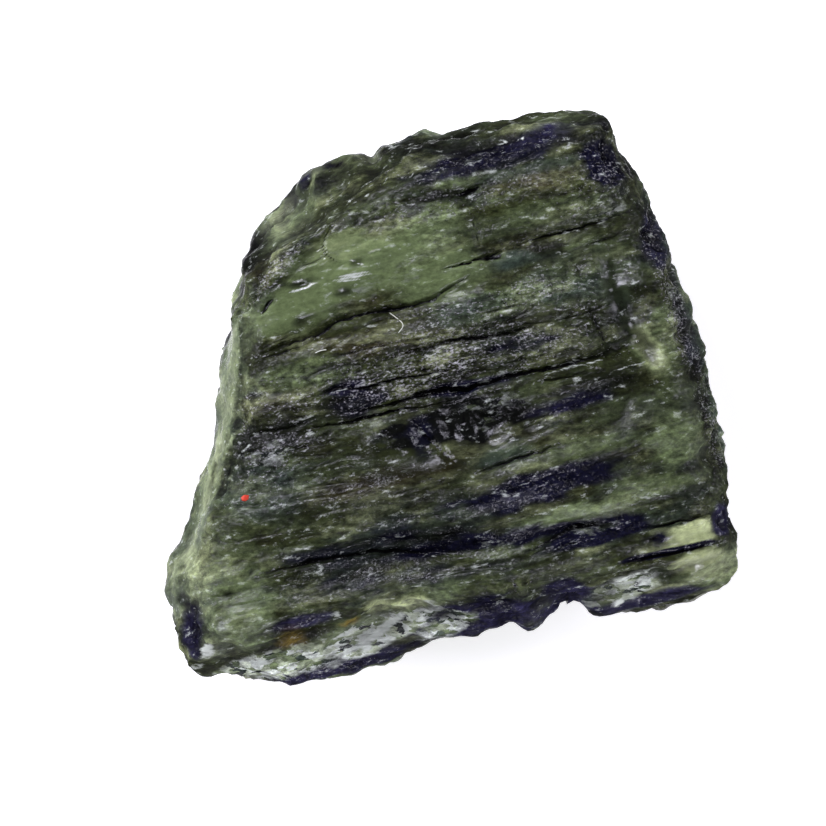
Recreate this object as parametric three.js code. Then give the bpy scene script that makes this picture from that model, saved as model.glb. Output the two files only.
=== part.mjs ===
// A raw moldavite: one lump of natural bottle-green glass, broken from a thicker layered piece.
// It lies on its back. +X runs along the flow bands of the glass, +Y up the broad face and +Z out of it.
// The origin is under the middle of the lump, on the surface it rests on. Millimetres throughout.
import * as THREE from "three";
import { ImprovedNoise } from "three/addons/math/ImprovedNoise.js";
import { mergeVertices } from "three/addons/utils/BufferGeometryUtils.js";

// Driving sizes
const LENGTH = 26; // along the flow bands, X
const WIDTH = 23.1; // across them, Y
const HEIGHT = 11.6; // of the crest of the face, Z

// How finely the lump is drawn. The face needs more rows than columns, because its furrows run along X.
const COLUMNS = 32;
const ROWS = 52;
const FLANK_ROWS = 8;

// Plan outlines, as the corners and bends of the real edge, side by side. South and north run along X,
// west and east run along Y. The rim is where the broad face breaks over to the flanks.
const RIM = {
  south: [[-11.6, -9], [-9.5, -9.5], [-7.5, -9.3], [-5, -9.1], [-3, -8.9], [-1, -9.5], [1, -9.9],
    [3, -10.1], [4.6, -9.8], [6, -10.3], [9, -10.4], [11.6, -9.9]],
  east: [[11.6, -9.9], [11.8, -8], [11.9, -6], [12.2, -3], [12.1, 0], [11.7, 3.5], [11.1, 6], [10.1, 10]],
  north: [[-3.2, 8.2], [-1.4, 9], [0.6, 9.7], [3, 10.3], [5.4, 10.6], [7.8, 10.6], [10.1, 10]],
  west: [[-11.6, -9], [-12, -7], [-11.3, -5.2], [-10.4, -3.4], [-9.5, -1.6], [-8.5, 0], [-7.3, 3.3],
    [-6.6, 5.8], [-5.2, 7.1], [-3.2, 8.2]],
};
// The waist is the widest line round the lump, which is the outline seen from above.
const WAIST = {
  south: [[-11.9, -9.9], [-10, -10.9], [-8, -11.3], [-5.5, -11.5], [-3.5, -11.3], [-1.8, -10.9], [0, -10.9],
    [1.6, -10.7], [3.1, -11.1], [4, -10.7], [4.5, -10.3], [5.2, -10.9], [6.2, -11.3], [9.5, -11.4],
    [11.3, -11.2], [12.1, -10.7]],
  east: [[12.1, -10.7], [12.4, -9], [12.5, -7], [12.9, -2.5], [12.7, 0.5], [12.2, 3.5], [11.6, 7],
    [10.5, 10.2]],
  north: [[-4, 10.4], [-2.4, 11.1], [-1.2, 11.3], [0, 11.1], [1.2, 11.5], [4.5, 11.45], [8.4, 11.3],
    [9.7, 11], [10.5, 10.2]],
  west: [[-11.9, -9.9], [-12.9, -7.6], [-12.9, -6], [-12.4, -4.5], [-11.2, -2.9], [-9.6, 0], [-8.8, 2.4],
    [-7.9, 4.8], [-6.9, 6.9], [-5.6, 9], [-4, 10.4]],
};
// Each flank: how high its waist lies at its first and last corner, and how far the base sits inside it.
const FLANKS = {
  south: { waist: [5.2, 7.4], undercut: 3 },
  east: { waist: [7.4, 6.6], undercut: 2.2 },
  north: { waist: [3.8, 6.6], undercut: 2.6 },
  west: { waist: [5.2, 3.8], undercut: 1.5 },
};
const CORNER_UNDERCUT = 2.2; // how far the base sits inside the waist at the corners
const CORNER_SHARE = 0.3; // share of a side over which its undercut comes in
const BASE_EDGE_HEIGHT = 1.1; // the flanks turn under to the base above this
const BASE_ROUNDING_WIDTH = 0.14; // share of the base over which it comes down to rest
const TURN_IN = 1.6; // how far inside an edge the face and the base still steer the flank's curve
const BOW = 0.2; // how far a flank bows out between its edges

// The face falls away from its crest: [y, drop] across the flow bands, then by a dome along X.
const FACE_DROP = [[-10.5, 1.5], [-9.2, 0.85], [-8.2, 0.5], [-7.2, 0.8], [-5.6, 0.45], [-3.6, 0.2],
  [-1.6, 0.6], [-0.3, 0.3], [0.9, 0], [1.9, 0.2], [2.7, 0.1], [4, 0.45], [5.6, 0.3], [7.6, 0.5], [9.4, 0.9],
  [11, 1.7]];
const DOME = 0.009; // drop per square millimetre from the crest along X
const CREST_X = 2.5;
const RIM_ROUNDING = 0.7; // drop of the face at its rim
const RIM_ROUNDING_WIDTH = 0.055; // share of the face over which it rounds off

// Furrows along the flow bands, then two creases across them: the line of each, its depth and half width.
const FURROWS = [
  { line: [[-7.2, 3.2], [-5, 3.6], [-3.2, 4.2], [0, 4.1], [3.6, 4.4]], depth: 0.45, reach: 0.42 },
  { line: [[1.8, 5.2], [3.6, 5.5], [6.5, 5.7], [10.6, 6.1]], depth: 0.38, reach: 0.36 },
  { line: [[-4.4, 1.1], [-1, 1.8], [2.5, 1.9], [6, 1.8], [8.4, 1.9]], depth: 0.5, reach: 0.42 },
  { line: [[-4.6, 0.3], [-1.5, 0.5], [1, -0.2], [3, 0.1], [6, 0.2], [9.6, 0.1]], depth: 0.5, reach: 0.4 },
  { line: [[-8.4, -0.2], [-6, -0.4], [-3.5, -0.7], [-0.5, -0.6]], depth: 0.38, reach: 0.38 },
  { line: [[-8, 1.5], [-5.5, 1.3], [-3, 0.9]], depth: 0.3, reach: 0.38 },
  { line: [[1.8, -2.7], [4, -2.2], [5.8, -1.8]], depth: 0.3, reach: 0.35 },
  { line: [[-9.4, -3.1], [-6, -3], [-2.8, -3.3]], depth: 0.25, reach: 0.4 },
  { line: [[0.5, -4.2], [4, -3.6], [8.2, -3.5]], depth: 0.3, reach: 0.4 },
  { line: [[-2.6, -4.9], [2, -5.1], [6, -4.9], [10.4, -4.8]], depth: 0.45, reach: 0.45 },
  { line: [[-9, -6.3], [-4.5, -6.3], [-1, -6.9], [2.8, -7.6], [5, -7], [8.2, -7.6]], depth: 0.5, reach: 0.5 },
  { line: [[7.4, -7.9], [9.5, -7.9], [12, -7.8]], depth: 0.3, reach: 0.35 },
  { line: [[7.6, -9.1], [10, -9.2], [12.4, -9]], depth: 0.4, reach: 0.42 },
  { line: [[8.2, 4.2], [8.5, 2.4], [9, 0.4]], depth: 0.4, reach: 0.4 },
  { line: [[3.9, 7.4], [4, 6.6], [4.1, 5.7]], depth: 0.25, reach: 0.35 },
];
const FURROW_STEPS = 60; // spots along each furrow that its depth is measured from
const FURROW_END = 0.08; // share of a furrow's length at each end where it stops fading

// Hollows, and lumps with a depth below 0: the middle of each, its half widths along X, Y and Z, its depth.
const HOLLOWS = [
  { name: "smooth pane", at: [-2.8, 5.8, 11], size: [4.6, 1.9, 4], depth: 0.45 },
  { name: "right scoop", at: [9.9, 1.6, 11], size: [1.3, 3.6, 4], depth: 0.55 },
  { name: "left cup", at: [-0.6, -1.8, 11], size: [1, 1.1, 3], depth: 0.45 },
  { name: "middle cup", at: [0.9, -1.5, 11], size: [0.9, 1.2, 3], depth: 0.45 },
  { name: "right cup", at: [2.4, -1.6, 11], size: [1, 1.2, 3], depth: 0.45 },
  { name: "lower cup", at: [2.2, -3.6, 11], size: [1.2, 0.8, 3], depth: 0.35 },
  { name: "top knob", at: [3.6, 9.1, 11], size: [0.9, 0.7, 3], depth: -0.45 },
  { name: "pit under the knob", at: [4.1, 8.3, 11], size: [1, 0.6, 3], depth: 0.4 },
  { name: "lower left swell", at: [-10, -7.6, 10.5], size: [2.4, 1.9, 4], depth: -0.5 },
  { name: "edge chip", at: [4.5, -10.4, 7], size: [1, 0.9, 6], depth: 0.7 },
  { name: "south conchoid", at: [-4.4, -10.4, 8.4], size: [2.6, 1.7, 2], depth: 0.6 },
  { name: "south middle conchoid", at: [0.6, -10.4, 4.6], size: [2.4, 2, 2.6], depth: 0.8 },
  { name: "south east conchoid", at: [7.8, -10.8, 8.6], size: [2.2, 1.4, 1.8], depth: 0.6 },
  { name: "south lower conchoid", at: [-7.4, -9.8, 2.4], size: [3, 2.4, 2], depth: 0.9 },
  { name: "south east lower conchoid", at: [8.6, -9.8, 2.8], size: [2.8, 2.4, 2.2], depth: 0.9 },
  { name: "bevel hollow", at: [-4.2, 8.8, 8], size: [2.6, 1.8, 2.4], depth: 0.35 },
  { name: "north conchoid", at: [-1.6, 10.4, 2], size: [3.4, 3, 2.6], depth: 0.9 },
  { name: "north east conchoid", at: [6, 10.6, 2.6], size: [4.2, 3, 2.6], depth: 1 },
  { name: "north pit", at: [2.4, 11, 6.4], size: [1.4, 1.2, 1.2], depth: 0.35 },
  { name: "west conchoid", at: [-8.6, 1, 1.4], size: [2.4, 4, 2.2], depth: 0.8 },
  { name: "south west chip", at: [-11.4, -8.6, 2.2], size: [2, 2.6, 2], depth: 0.8 },
  { name: "east conchoid", at: [12.6, -3, 3.6], size: [2, 3.4, 2.8], depth: 0.7 },
  { name: "east pit", at: [12, 5.4, 4.4], size: [1.4, 1.3, 1.5], depth: 0.5 },
  { name: "underside hollow", at: [-5.4, -5.2, 0], size: [3, 2.4, 2], depth: 0.9 },
  { name: "underside groove", at: [6.4, 3.6, 0], size: [3.4, 1.3, 2], depth: 0.8 },
  { name: "underside chip", at: [9.6, -8.4, 0], size: [2.6, 2.2, 2], depth: 1 },
  { name: "underside scoop", at: [-1.6, 6.8, 0], size: [2.6, 1.8, 2], depth: 0.8 },
];
const HOLLOW_FADE = [0.15, 1.25]; // where a hollow starts to fade out and where it ends, in half widths

// The glass is built of thin layers that lean back under the face. Where a flank cuts them the weak seams are
// etched back and the layers between stand out as ledges: [place across the layers, depth, half width].
const LAYER_LEAN = 0.35; // radians from the face's Y towards Z
const SEAMS = [[-10.4, 0.2, 0.4], [-8.7, 0.4, 0.5], [-7.6, 0.2, 0.4], [-5.6, 0.45, 0.45], [-4.7, 0.2, 0.4],
  [-2.6, 0.3, 0.7], [-0.2, 0.55, 0.5], [1, 0.2, 0.35], [2.1, 0.35, 0.4], [4.1, 0.5, 0.5], [5.8, 0.25, 0.4],
  [7.6, 0.4, 0.7], [9.4, 0.2, 0.4]];
const SEAM_MEAN = 0.06; // what the seams cut away on average, given back to keep the outline
const SEAM_FADE_LENGTH = 4; // a seam comes and goes over about this length
const SEAM_FADE = [-0.45, 0.35]; // the noise between which a seam goes from gone to full
const LAYER_WAVE = 0.7; // how far a layer wanders
const WAVE_LENGTH = 9; // and over what length
const FACE_LEDGES = 0.4; // share of the ledges that the face keeps, where the furrows take over

const SWELLS = [{ size: 5.2, height: 0.34 }, { size: 2.1, height: 0.14 }];
const SWELL_SEED = [3.7, 1.3, 8.1]; // where in the noise the swells are taken from
const FACE_TURN = [0.55, 0.85]; // how far up a surface looks where flank turns into face
const WORN_AWAY = 0.4; // how much of the underside's lowest swells is worn flat
const EPSILON = 1e-6;

const noise = new ImprovedNoise();
const { clamp, lerp, smoothstep } = THREE.MathUtils;

/** The smooth plan curve through a line of plan points. */
function planCurve(points) {
  return new THREE.CatmullRomCurve3(points.map(([x, y]) => new THREE.Vector3(x, y, 0)), false, "centripetal");
}

/** One side of an outline as a function that gives its point at a share of its run along an axis. */
function sideRun(points, axis) {
  const spots = planCurve(points).getSpacedPoints(300);
  const [first, last] = [spots[0], spots[spots.length - 1]];
  return (share) => {
    const place = lerp(first[axis], last[axis], share);
    const next = Math.max(1, spots.findIndex((spot) => spot[axis] >= place));
    const [low, high] = [spots[next - 1], spots[next]];
    return low.clone().lerp(high, (place - low[axis]) / (high[axis] - low[axis]));
  };
}

/** The four sides of an outline. */
function outlineSides({ south, east, north, west }) {
  return {
    south: sideRun(south, "x"),
    east: sideRun(east, "y"),
    north: sideRun(north, "x"),
    west: sideRun(west, "y"),
  };
}

/** The smooth interpolation of [place, value] pairs. */
function interpolate(pairs, place) {
  const next = pairs.findIndex(([at]) => at > place);
  if (next === 0) return pairs[0][1];
  if (next < 0) return pairs[pairs.length - 1][1];
  const [[lowAt, low], [highAt, high]] = [pairs[next - 1], pairs[next]];
  return lerp(low, high, smoothstep(place, lowAt, highAt));
}

/** The plan point at (u, v) of the patch that fills an outline, u along X and v along Y, each from 0 to 1. */
function patchPoint(sides, u, v) {
  const corners = new THREE.Vector3()
    .addScaledVector(sides.south(0), (1 - u) * (1 - v))
    .addScaledVector(sides.south(1), u * (1 - v))
    .addScaledVector(sides.north(0), (1 - u) * v)
    .addScaledVector(sides.north(1), u * v);
  return new THREE.Vector3()
    .addScaledVector(sides.south(u), 1 - v)
    .addScaledVector(sides.north(u), v)
    .addScaledVector(sides.west(v), 1 - u)
    .addScaledVector(sides.east(v), u)
    .sub(corners);
}

/** How near (u, v) is to the edge of a patch: 1 on it and 0 from width inwards. */
function edgeShare(u, v, width) {
  const inside = Math.min(u, 1 - u, v, 1 - v);
  return (1 - smoothstep(inside, 0, width)) ** 2;
}

/** The height of the broad face over a plan point, before its furrows. */
function faceHeight(point) {
  return HEIGHT - interpolate(FACE_DROP, point.y) - DOME * (point.x - CREST_X) ** 2;
}

/** A point of an outline moved towards the middle of the lump, in plan. */
function movedInwards(point, distance) {
  const inwards = new THREE.Vector3(-point.x, -point.y, 0).normalize();
  return point.clone().addScaledVector(inwards, distance);
}

const rim = outlineSides(RIM);
const waist = outlineSides(WAIST);

/** The edge of the base under a place on one side. */
function baseEdge(side, along) {
  const toCorner = Math.min(along, 1 - along);
  const undercut = lerp(CORNER_UNDERCUT, FLANKS[side].undercut, smoothstep(toCorner, 0, CORNER_SHARE));
  return movedInwards(waist[side](along), undercut).setZ(BASE_EDGE_HEIGHT);
}

const base = Object.fromEntries(Object.keys(WAIST).map((side) => [side, (along) => baseEdge(side, along)]));

/** The point of one flank at a share of its length and a share of the way down, from the rim to the base. */
function flankPoint(side, along, down) {
  const top = rim[side](along);
  top.z = faceHeight(top) - RIM_ROUNDING;
  const middle = waist[side](along);
  middle.z = lerp(...FLANKS[side].waist, along);
  const bottom = baseEdge(side, along);
  const inside = movedInwards(top, TURN_IN).setZ(top.z + RIM_ROUNDING);
  const under = movedInwards(bottom, TURN_IN).setZ(0);
  const outwards = middle.clone().setZ(0).normalize();
  const upper = top.clone().lerp(middle, 0.5).addScaledVector(outwards, BOW);
  const lower = middle.clone().lerp(bottom, 0.5).addScaledVector(outwards, BOW);
  const profile = new THREE.CatmullRomCurve3([inside, top, upper, middle, lower, bottom, under]);
  const [fromTop, toBottom] = [1 / 6, 5 / 6];
  return profile.getPoint(lerp(fromTop, toBottom, down));
}

/** Moves one point of the starting cube, each coordinate from -1 to 1, to its place on the plain lump. */
function onLump(cube) {
  const [u, v, down] = [(cube.x + 1) / 2, (cube.y + 1) / 2, (1 - cube.z) / 2];
  if (down < EPSILON) {
    const top = patchPoint(rim, u, v);
    return top.setZ(faceHeight(top) - RIM_ROUNDING * edgeShare(u, v, RIM_ROUNDING_WIDTH));
  }
  if (down > 1 - EPSILON) {
    return patchPoint(base, u, v).setZ(BASE_EDGE_HEIGHT * edgeShare(u, v, BASE_ROUNDING_WIDTH));
  }
  if (v < EPSILON) return flankPoint("south", u, down);
  if (v > 1 - EPSILON) return flankPoint("north", u, down);
  return u < 0.5 ? flankPoint("west", v, down) : flankPoint("east", v, down);
}

const furrows = FURROWS.map((furrow) => ({
  ...furrow,
  spots: planCurve(furrow.line).getSpacedPoints(FURROW_STEPS),
}));

/** How deep the furrows cut the face at a plan point. */
function furrowDepth(point) {
  let depth = 0;
  for (const { spots, depth: full, reach } of furrows) {
    spots.forEach((spot, i) => {
      const away = Math.hypot(point.x - spot.x, point.y - spot.y) / reach;
      const along = clamp(i / FURROW_STEPS, FURROW_END, 1 - FURROW_END);
      depth = Math.max(depth, full * Math.sqrt(Math.sin(Math.PI * along)) * Math.exp(-away * away));
    });
  }
  return depth;
}

/** How deep the hollows cut, or the lumps stand out, at a point. */
function hollowDepth(point) {
  return HOLLOWS.reduce((depth, { at, size, depth: full }) => {
    const away = Math.hypot(...point.toArray().map((place, axis) => (place - at[axis]) / size[axis]));
    return depth + full * (1 - smoothstep(away, ...HOLLOW_FADE));
  }, 0);
}

/** How far the edges of the layers stand out at a point whose surface faces along normal. */
function ledgeHeight(point, normal) {
  const across = new THREE.Vector3(0, Math.cos(LAYER_LEAN), Math.sin(LAYER_LEAN));
  const wave = LAYER_WAVE * noise.noise(...point.clone().divideScalar(WAVE_LENGTH));
  const layer = point.dot(across) - HEIGHT * across.z + wave;
  const cut = SEAMS.reduce((deepest, [place, depth, reach]) =>
    Math.max(deepest, depth * Math.exp(-(((layer - place) / reach) ** 2))), 0);
  const patch = new THREE.Vector3(point.x, layer, point.z).divideScalar(SEAM_FADE_LENGTH);
  const strength = smoothstep(noise.noise(...patch), ...SEAM_FADE);
  return (1 - normal.dot(across) ** 2) * (SEAM_MEAN - strength * cut);
}

/** How far the lump's own swells stand out at a point. */
function swell(point) {
  return SWELLS.reduce((sum, { size, height }) => {
    const place = point.clone().divideScalar(size).add(new THREE.Vector3(...SWELL_SEED));
    return sum + height * noise.noise(...place);
  }, 0);
}

/** How far the weathered surface lies outside the plain lump at a point whose surface faces along normal. */
function weathering(point, normal) {
  const onFace = smoothstep(normal.z, ...FACE_TURN);
  const ledges = ledgeHeight(point, normal) * lerp(1, FACE_LEDGES, onFace);
  return swell(point) + ledges - hollowDepth(point) - onFace * furrowDepth(point);
}

/** The lump brought to its driving sizes, with its underside worn flat where it rests. */
function settled(lump) {
  const places = lump.getAttribute("position");
  lump.computeBoundingBox();
  const { min, max } = lump.boundingBox;
  const floor = min.z + WORN_AWAY;
  for (let i = 0; i < places.count; i++) {
    places.setXYZ(
      i,
      (places.getX(i) - (min.x + max.x) / 2) * (LENGTH / (max.x - min.x)),
      (places.getY(i) - (min.y + max.y) / 2) * (WIDTH / (max.y - min.y)),
      Math.max(0, places.getZ(i) - floor) * (HEIGHT / (max.z - floor)),
    );
  }
  return lump;
}

/** The finished lump as one closed geometry. */
function lumpGeometry() {
  const cube = new THREE.BoxGeometry(2, 2, 2, COLUMNS, ROWS, FLANK_ROWS);
  cube.deleteAttribute("normal").deleteAttribute("uv");
  const lump = mergeVertices(cube, EPSILON);
  const places = lump.getAttribute("position");
  const point = new THREE.Vector3();
  for (let i = 0; i < places.count; i++) {
    places.setXYZ(i, ...onLump(point.fromBufferAttribute(places, i)));
  }
  lump.computeVertexNormals();
  const normals = lump.getAttribute("normal");
  const normal = new THREE.Vector3();
  for (let i = 0; i < places.count; i++) {
    point.fromBufferAttribute(places, i);
    normal.fromBufferAttribute(normals, i);
    places.setXYZ(i, ...point.addScaledVector(normal, weathering(point, normal)));
  }
  lump.deleteAttribute("normal");
  return settled(lump);
}

// The moldavite
const glass = new THREE.MeshStandardMaterial({ color: 0x3c4a2c, roughness: 0.42, metalness: 0 });
const stone = new THREE.Mesh(lumpGeometry(), glass);
stone.name = "moldavite";

const group = new THREE.Group();
group.add(stone);

export default group;
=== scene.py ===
"""Looks of a raw moldavite: one lump of dark bottle-green natural glass lying on its back on a pale floor.

Row frame: +X runs along the flow bands of the glass, +Y up the broad face, +Z out of it. Sizes are written in
millimetres and turned to metres where Blender needs them.
"""

import logging
import math
from dataclasses import dataclass
from enum import Enum
from itertools import product

import bmesh
import bpy
import numpy as np
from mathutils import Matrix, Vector


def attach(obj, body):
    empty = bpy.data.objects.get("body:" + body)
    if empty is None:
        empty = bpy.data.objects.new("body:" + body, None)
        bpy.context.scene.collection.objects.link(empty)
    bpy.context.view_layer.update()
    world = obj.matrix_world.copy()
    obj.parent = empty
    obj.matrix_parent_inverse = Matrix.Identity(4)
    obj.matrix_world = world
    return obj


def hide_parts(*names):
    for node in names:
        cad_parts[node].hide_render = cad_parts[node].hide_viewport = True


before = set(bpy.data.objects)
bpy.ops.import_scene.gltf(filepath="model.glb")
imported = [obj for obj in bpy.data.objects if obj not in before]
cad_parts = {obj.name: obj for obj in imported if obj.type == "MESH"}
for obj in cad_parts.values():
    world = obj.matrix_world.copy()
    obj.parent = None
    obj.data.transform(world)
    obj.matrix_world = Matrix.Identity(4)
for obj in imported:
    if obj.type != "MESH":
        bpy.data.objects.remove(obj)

MM = 0.001
BODY = "root"

NOISE_DIRECTIONS = 256
NOISE_GAIN = 1.6
SCOOP_SPOTS = 4096
SCOOP_KEYS = (73, 157, 311)

LOG = logging.getLogger("moldavite")


def linear(hex_colour: str) -> tuple[float, float, float, float]:
    """Turns an sRGB hex colour into linear RGBA.

    Args:
        hex_colour: Six hex digits, with or without a hash.

    Returns:
        Linear red, green and blue, and an alpha of 1.
    """
    digits = hex_colour.lstrip("#")
    channels = [int(digits[i : i + 2], 16) / 255 for i in (0, 2, 4)]
    bent = [c / 12.92 if c <= 0.04045 else ((c + 0.055) / 1.055) ** 2.4 for c in channels]
    return (*bent, 1.0)


def smooth_step(values: np.ndarray, low: float, high: float) -> np.ndarray:
    """Goes smoothly from 0 at low to 1 at high.

    Args:
        values: Any numbers.
        low: The value at which the step starts.
        high: The value at which it ends, which may be less than low.

    Returns:
        Numbers from 0 to 1.
    """
    share = np.clip((values - low) / (high - low), 0, 1)
    return share * share * (3 - 2 * share)


def add_node(
    tree: bpy.types.NodeTree, kind: str, settings: dict | None = None, links: dict | None = None
) -> bpy.types.Node:
    """Adds one node with its settings and incoming links.

    Args:
        tree: The node tree.
        kind: The node's type name.
        settings: Values by property name or input socket name or number.
        links: Output sockets, or nodes for their first output, by input socket name or number.

    Returns:
        The new node.
    """
    node = tree.nodes.new(kind)
    for name, value in (settings or {}).items():
        if isinstance(name, str) and hasattr(node, name):
            setattr(node, name, value)
        else:
            node.inputs[name].default_value = value
    for name, source in (links or {}).items():
        output = source.outputs[0] if isinstance(source, bpy.types.Node) else source
        tree.links.new(output, node.inputs[name])
    return node


def put_in_scene(name: str, content: bpy.types.ID) -> bpy.types.Object:
    """Makes an object and links it to the scene.

    Args:
        name: The object's name.
        content: Its mesh, curve, light or camera.

    Returns:
        The new object.
    """
    thing = bpy.data.objects.new(name, content)
    bpy.context.scene.collection.objects.link(thing)
    return thing


class GradientNoise:
    """Seeded smooth noise in three dimensions, from about -1 to 1."""

    def __init__(self, seed: int) -> None:
        """Draws the noise's directions from a seed.

        Args:
            seed: What the directions are drawn from.
        """
        chance = np.random.default_rng(seed)
        self.order = np.tile(chance.permutation(NOISE_DIRECTIONS), 3)
        directions = chance.normal(size=(NOISE_DIRECTIONS, 3))
        self.directions = directions / np.linalg.norm(directions, axis=1, keepdims=True)

    def __call__(self, points: np.ndarray) -> np.ndarray:
        """Gives the noise at points.

        Args:
            points: Rows of three coordinates, where 1 is the size of a lump of noise.

        Returns:
            One value for each point.
        """
        cell = np.floor(points).astype(int)
        within = points - cell
        cell &= NOISE_DIRECTIONS - 1
        fade = within**3 * (within * (within * 6 - 15) + 10)
        total = np.zeros(len(points))
        for corner in product((0, 1), repeat=3):
            index = self.order[cell[:, 0] + corner[0]]
            index = self.order[index + cell[:, 1] + corner[1]]
            index = self.order[index + cell[:, 2] + corner[2]]
            weight = np.prod(np.where(corner, fade, 1 - fade), axis=1)
            total += weight * np.sum(self.directions[index] * (within - corner), axis=1)
        return total * NOISE_GAIN

    def fractal(self, points: np.ndarray, octaves: int) -> np.ndarray:
        """Sums the noise at finer and finer scales, each half as strong."""
        return sum(self(points * 2**i + 7.3 * i) * 0.5**i for i in range(octaves))


def cell_scoops(points: np.ndarray, size: float, seed: int) -> np.ndarray:
    """Gives scallops that meet in sharp ridges, as shell-shaped fractures do.

    Args:
        points: Rows of three coordinates in millimetres.
        size: The usual width of a scallop in millimetres.
        seed: What the scallops are drawn from.

    Returns:
        0 in the middle of a scallop and about 1 on the ridges.
    """
    chance = np.random.default_rng(seed)
    table = chance.random((SCOOP_SPOTS, 3))
    place = points / size
    cell = np.floor(place).astype(int)
    nearest = np.full(len(points), np.inf)
    for corner in product((-1, 0, 1), repeat=3):
        beside = cell + corner
        key = (beside @ np.array(SCOOP_KEYS)) % len(table)
        gap = np.sum((beside + table[key] - place) ** 2, axis=1)
        nearest = np.minimum(nearest, gap)
    return np.clip(nearest, 0, 1)


class Tone(Enum):
    """What the paint on the surface says at each point, as a mesh attribute from 0 to 1."""

    MOSS = "moss"
    INK = "ink"
    INDIGO = "indigo"
    WINDOW = "window_glow"
    UMBER = "umber"
    TEAL = "teal"
    FROST = "frost_and_glint"
    GLOSS = "gloss"
    RUST = "rust"
    NIGHT = "night"
    CHIP = "chip"
    FLASH_HIGHLIGHT = "flash_highlight"
    SKIN = "skin"
    # Painted shade in the cracks.
    CRACK_SHADE = "crack"
    # Painted shade in the hollows and painted highlight on the ridges.
    HOLLOW_SHADE = "hollow"
    RIDGE_HIGHLIGHT = "ridge"


@dataclass(frozen=True)
class Patch:
    """An oval area of the broad face, in plan, that has some share of a tone."""

    x: float
    y: float
    half_length: float
    half_width: float
    turn: float = 0.0
    share: float = 1.0
    edge: float = 0.5
    squareness: float = 2.0

    def cover(self, plan: np.ndarray, wander: np.ndarray) -> np.ndarray:
        """Gives how much of the patch is at each plan point.

        Args:
            plan: Rows of x and y in millimetres.
            wander: Noise for each point that makes the edge ragged.

        Returns:
            0 to the patch's share.
        """
        angle = math.radians(self.turn)
        offset = plan - (self.x, self.y)
        along = offset @ (math.cos(angle), math.sin(angle)) / self.half_length
        across = offset @ (-math.sin(angle), math.cos(angle)) / self.half_width
        power = self.squareness
        reach = (np.abs(along) ** power + np.abs(across) ** power) ** (1 / power) + 0.4 * wander
        return self.share * smooth_step(reach, 1 + self.edge, 1 - self.edge)


@dataclass(frozen=True)
class Cut:
    """A crack or furrow in the broad face: its line in plan, depth and half width in millimetres."""

    line: tuple[tuple[float, float], ...]
    depth: float
    reach: float
    # How dark the painted shade in the cut is.
    blackness: float = 0.6

    def closeness(self, plan: np.ndarray) -> np.ndarray:
        """Gives how near the cut's line each plan point is, fading towards the line's ends.

        Args:
            plan: Rows of x and y in millimetres.

        Returns:
            1 on the line and less away from it.
        """
        spots = np.array(self.line)
        lengths = np.linalg.norm(np.diff(spots, axis=0), axis=1)
        starts = np.concatenate([[0], np.cumsum(lengths)]) / lengths.sum()
        close = np.zeros(len(plan))
        for start, end, begun, length in zip(spots[:-1], spots[1:], starts, lengths):
            step = (end - start) / length
            along = np.clip((plan - start) @ step, 0, length)
            gap = np.linalg.norm(plan - start - along[:, None] * step, axis=1)
            share = begun + along / lengths.sum()
            taper = np.sqrt(np.clip(4 * share * (1 - share), 0, 1))
            close = np.maximum(close, taper * np.exp(-((gap / self.reach) ** 2)))
        return close


@dataclass(frozen=True)
class Band:
    """A strip of the surface along a line in plan, in millimetres."""

    line: tuple[tuple[float, float], ...]
    reach: float

    def cover(self, plan: np.ndarray) -> np.ndarray:
        """Gives how much of the strip is at each plan point.

        Args:
            plan: Rows of x and y in millimetres.

        Returns:
            1 in the middle of the strip and 0 beside it.
        """
        spots = np.array(self.line)
        gap = np.full(len(plan), np.inf)
        for start, end in zip(spots[:-1], spots[1:]):
            length = np.linalg.norm(end - start)
            step = (end - start) / length
            along = np.clip((plan - start) @ step, 0, length)
            gap = np.minimum(gap, np.linalg.norm(plan - start - along[:, None] * step, axis=1))
        return smooth_step(gap, 1.3 * self.reach, 0.7 * self.reach)


# The smooth pale flank on the left and the edge where it meets the broad face.
LEFT_FLANK = Band(
    ((-7.6, 4.2), (-8.25, 2.1), (-9.0, 0.2), (-10.2, -1.5), (-11.2, -3.4), (-12.3, -5.2), (-12.9, -6.8)), 0.75
)
LEFT_EDGE = Band(((-7.0, 5.4), (-7.35, 3.5), (-7.8, 1.8), (-8.5, 0.25), (-9.6, -1.2), (-10.4, -3.1)), 0.1)

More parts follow.
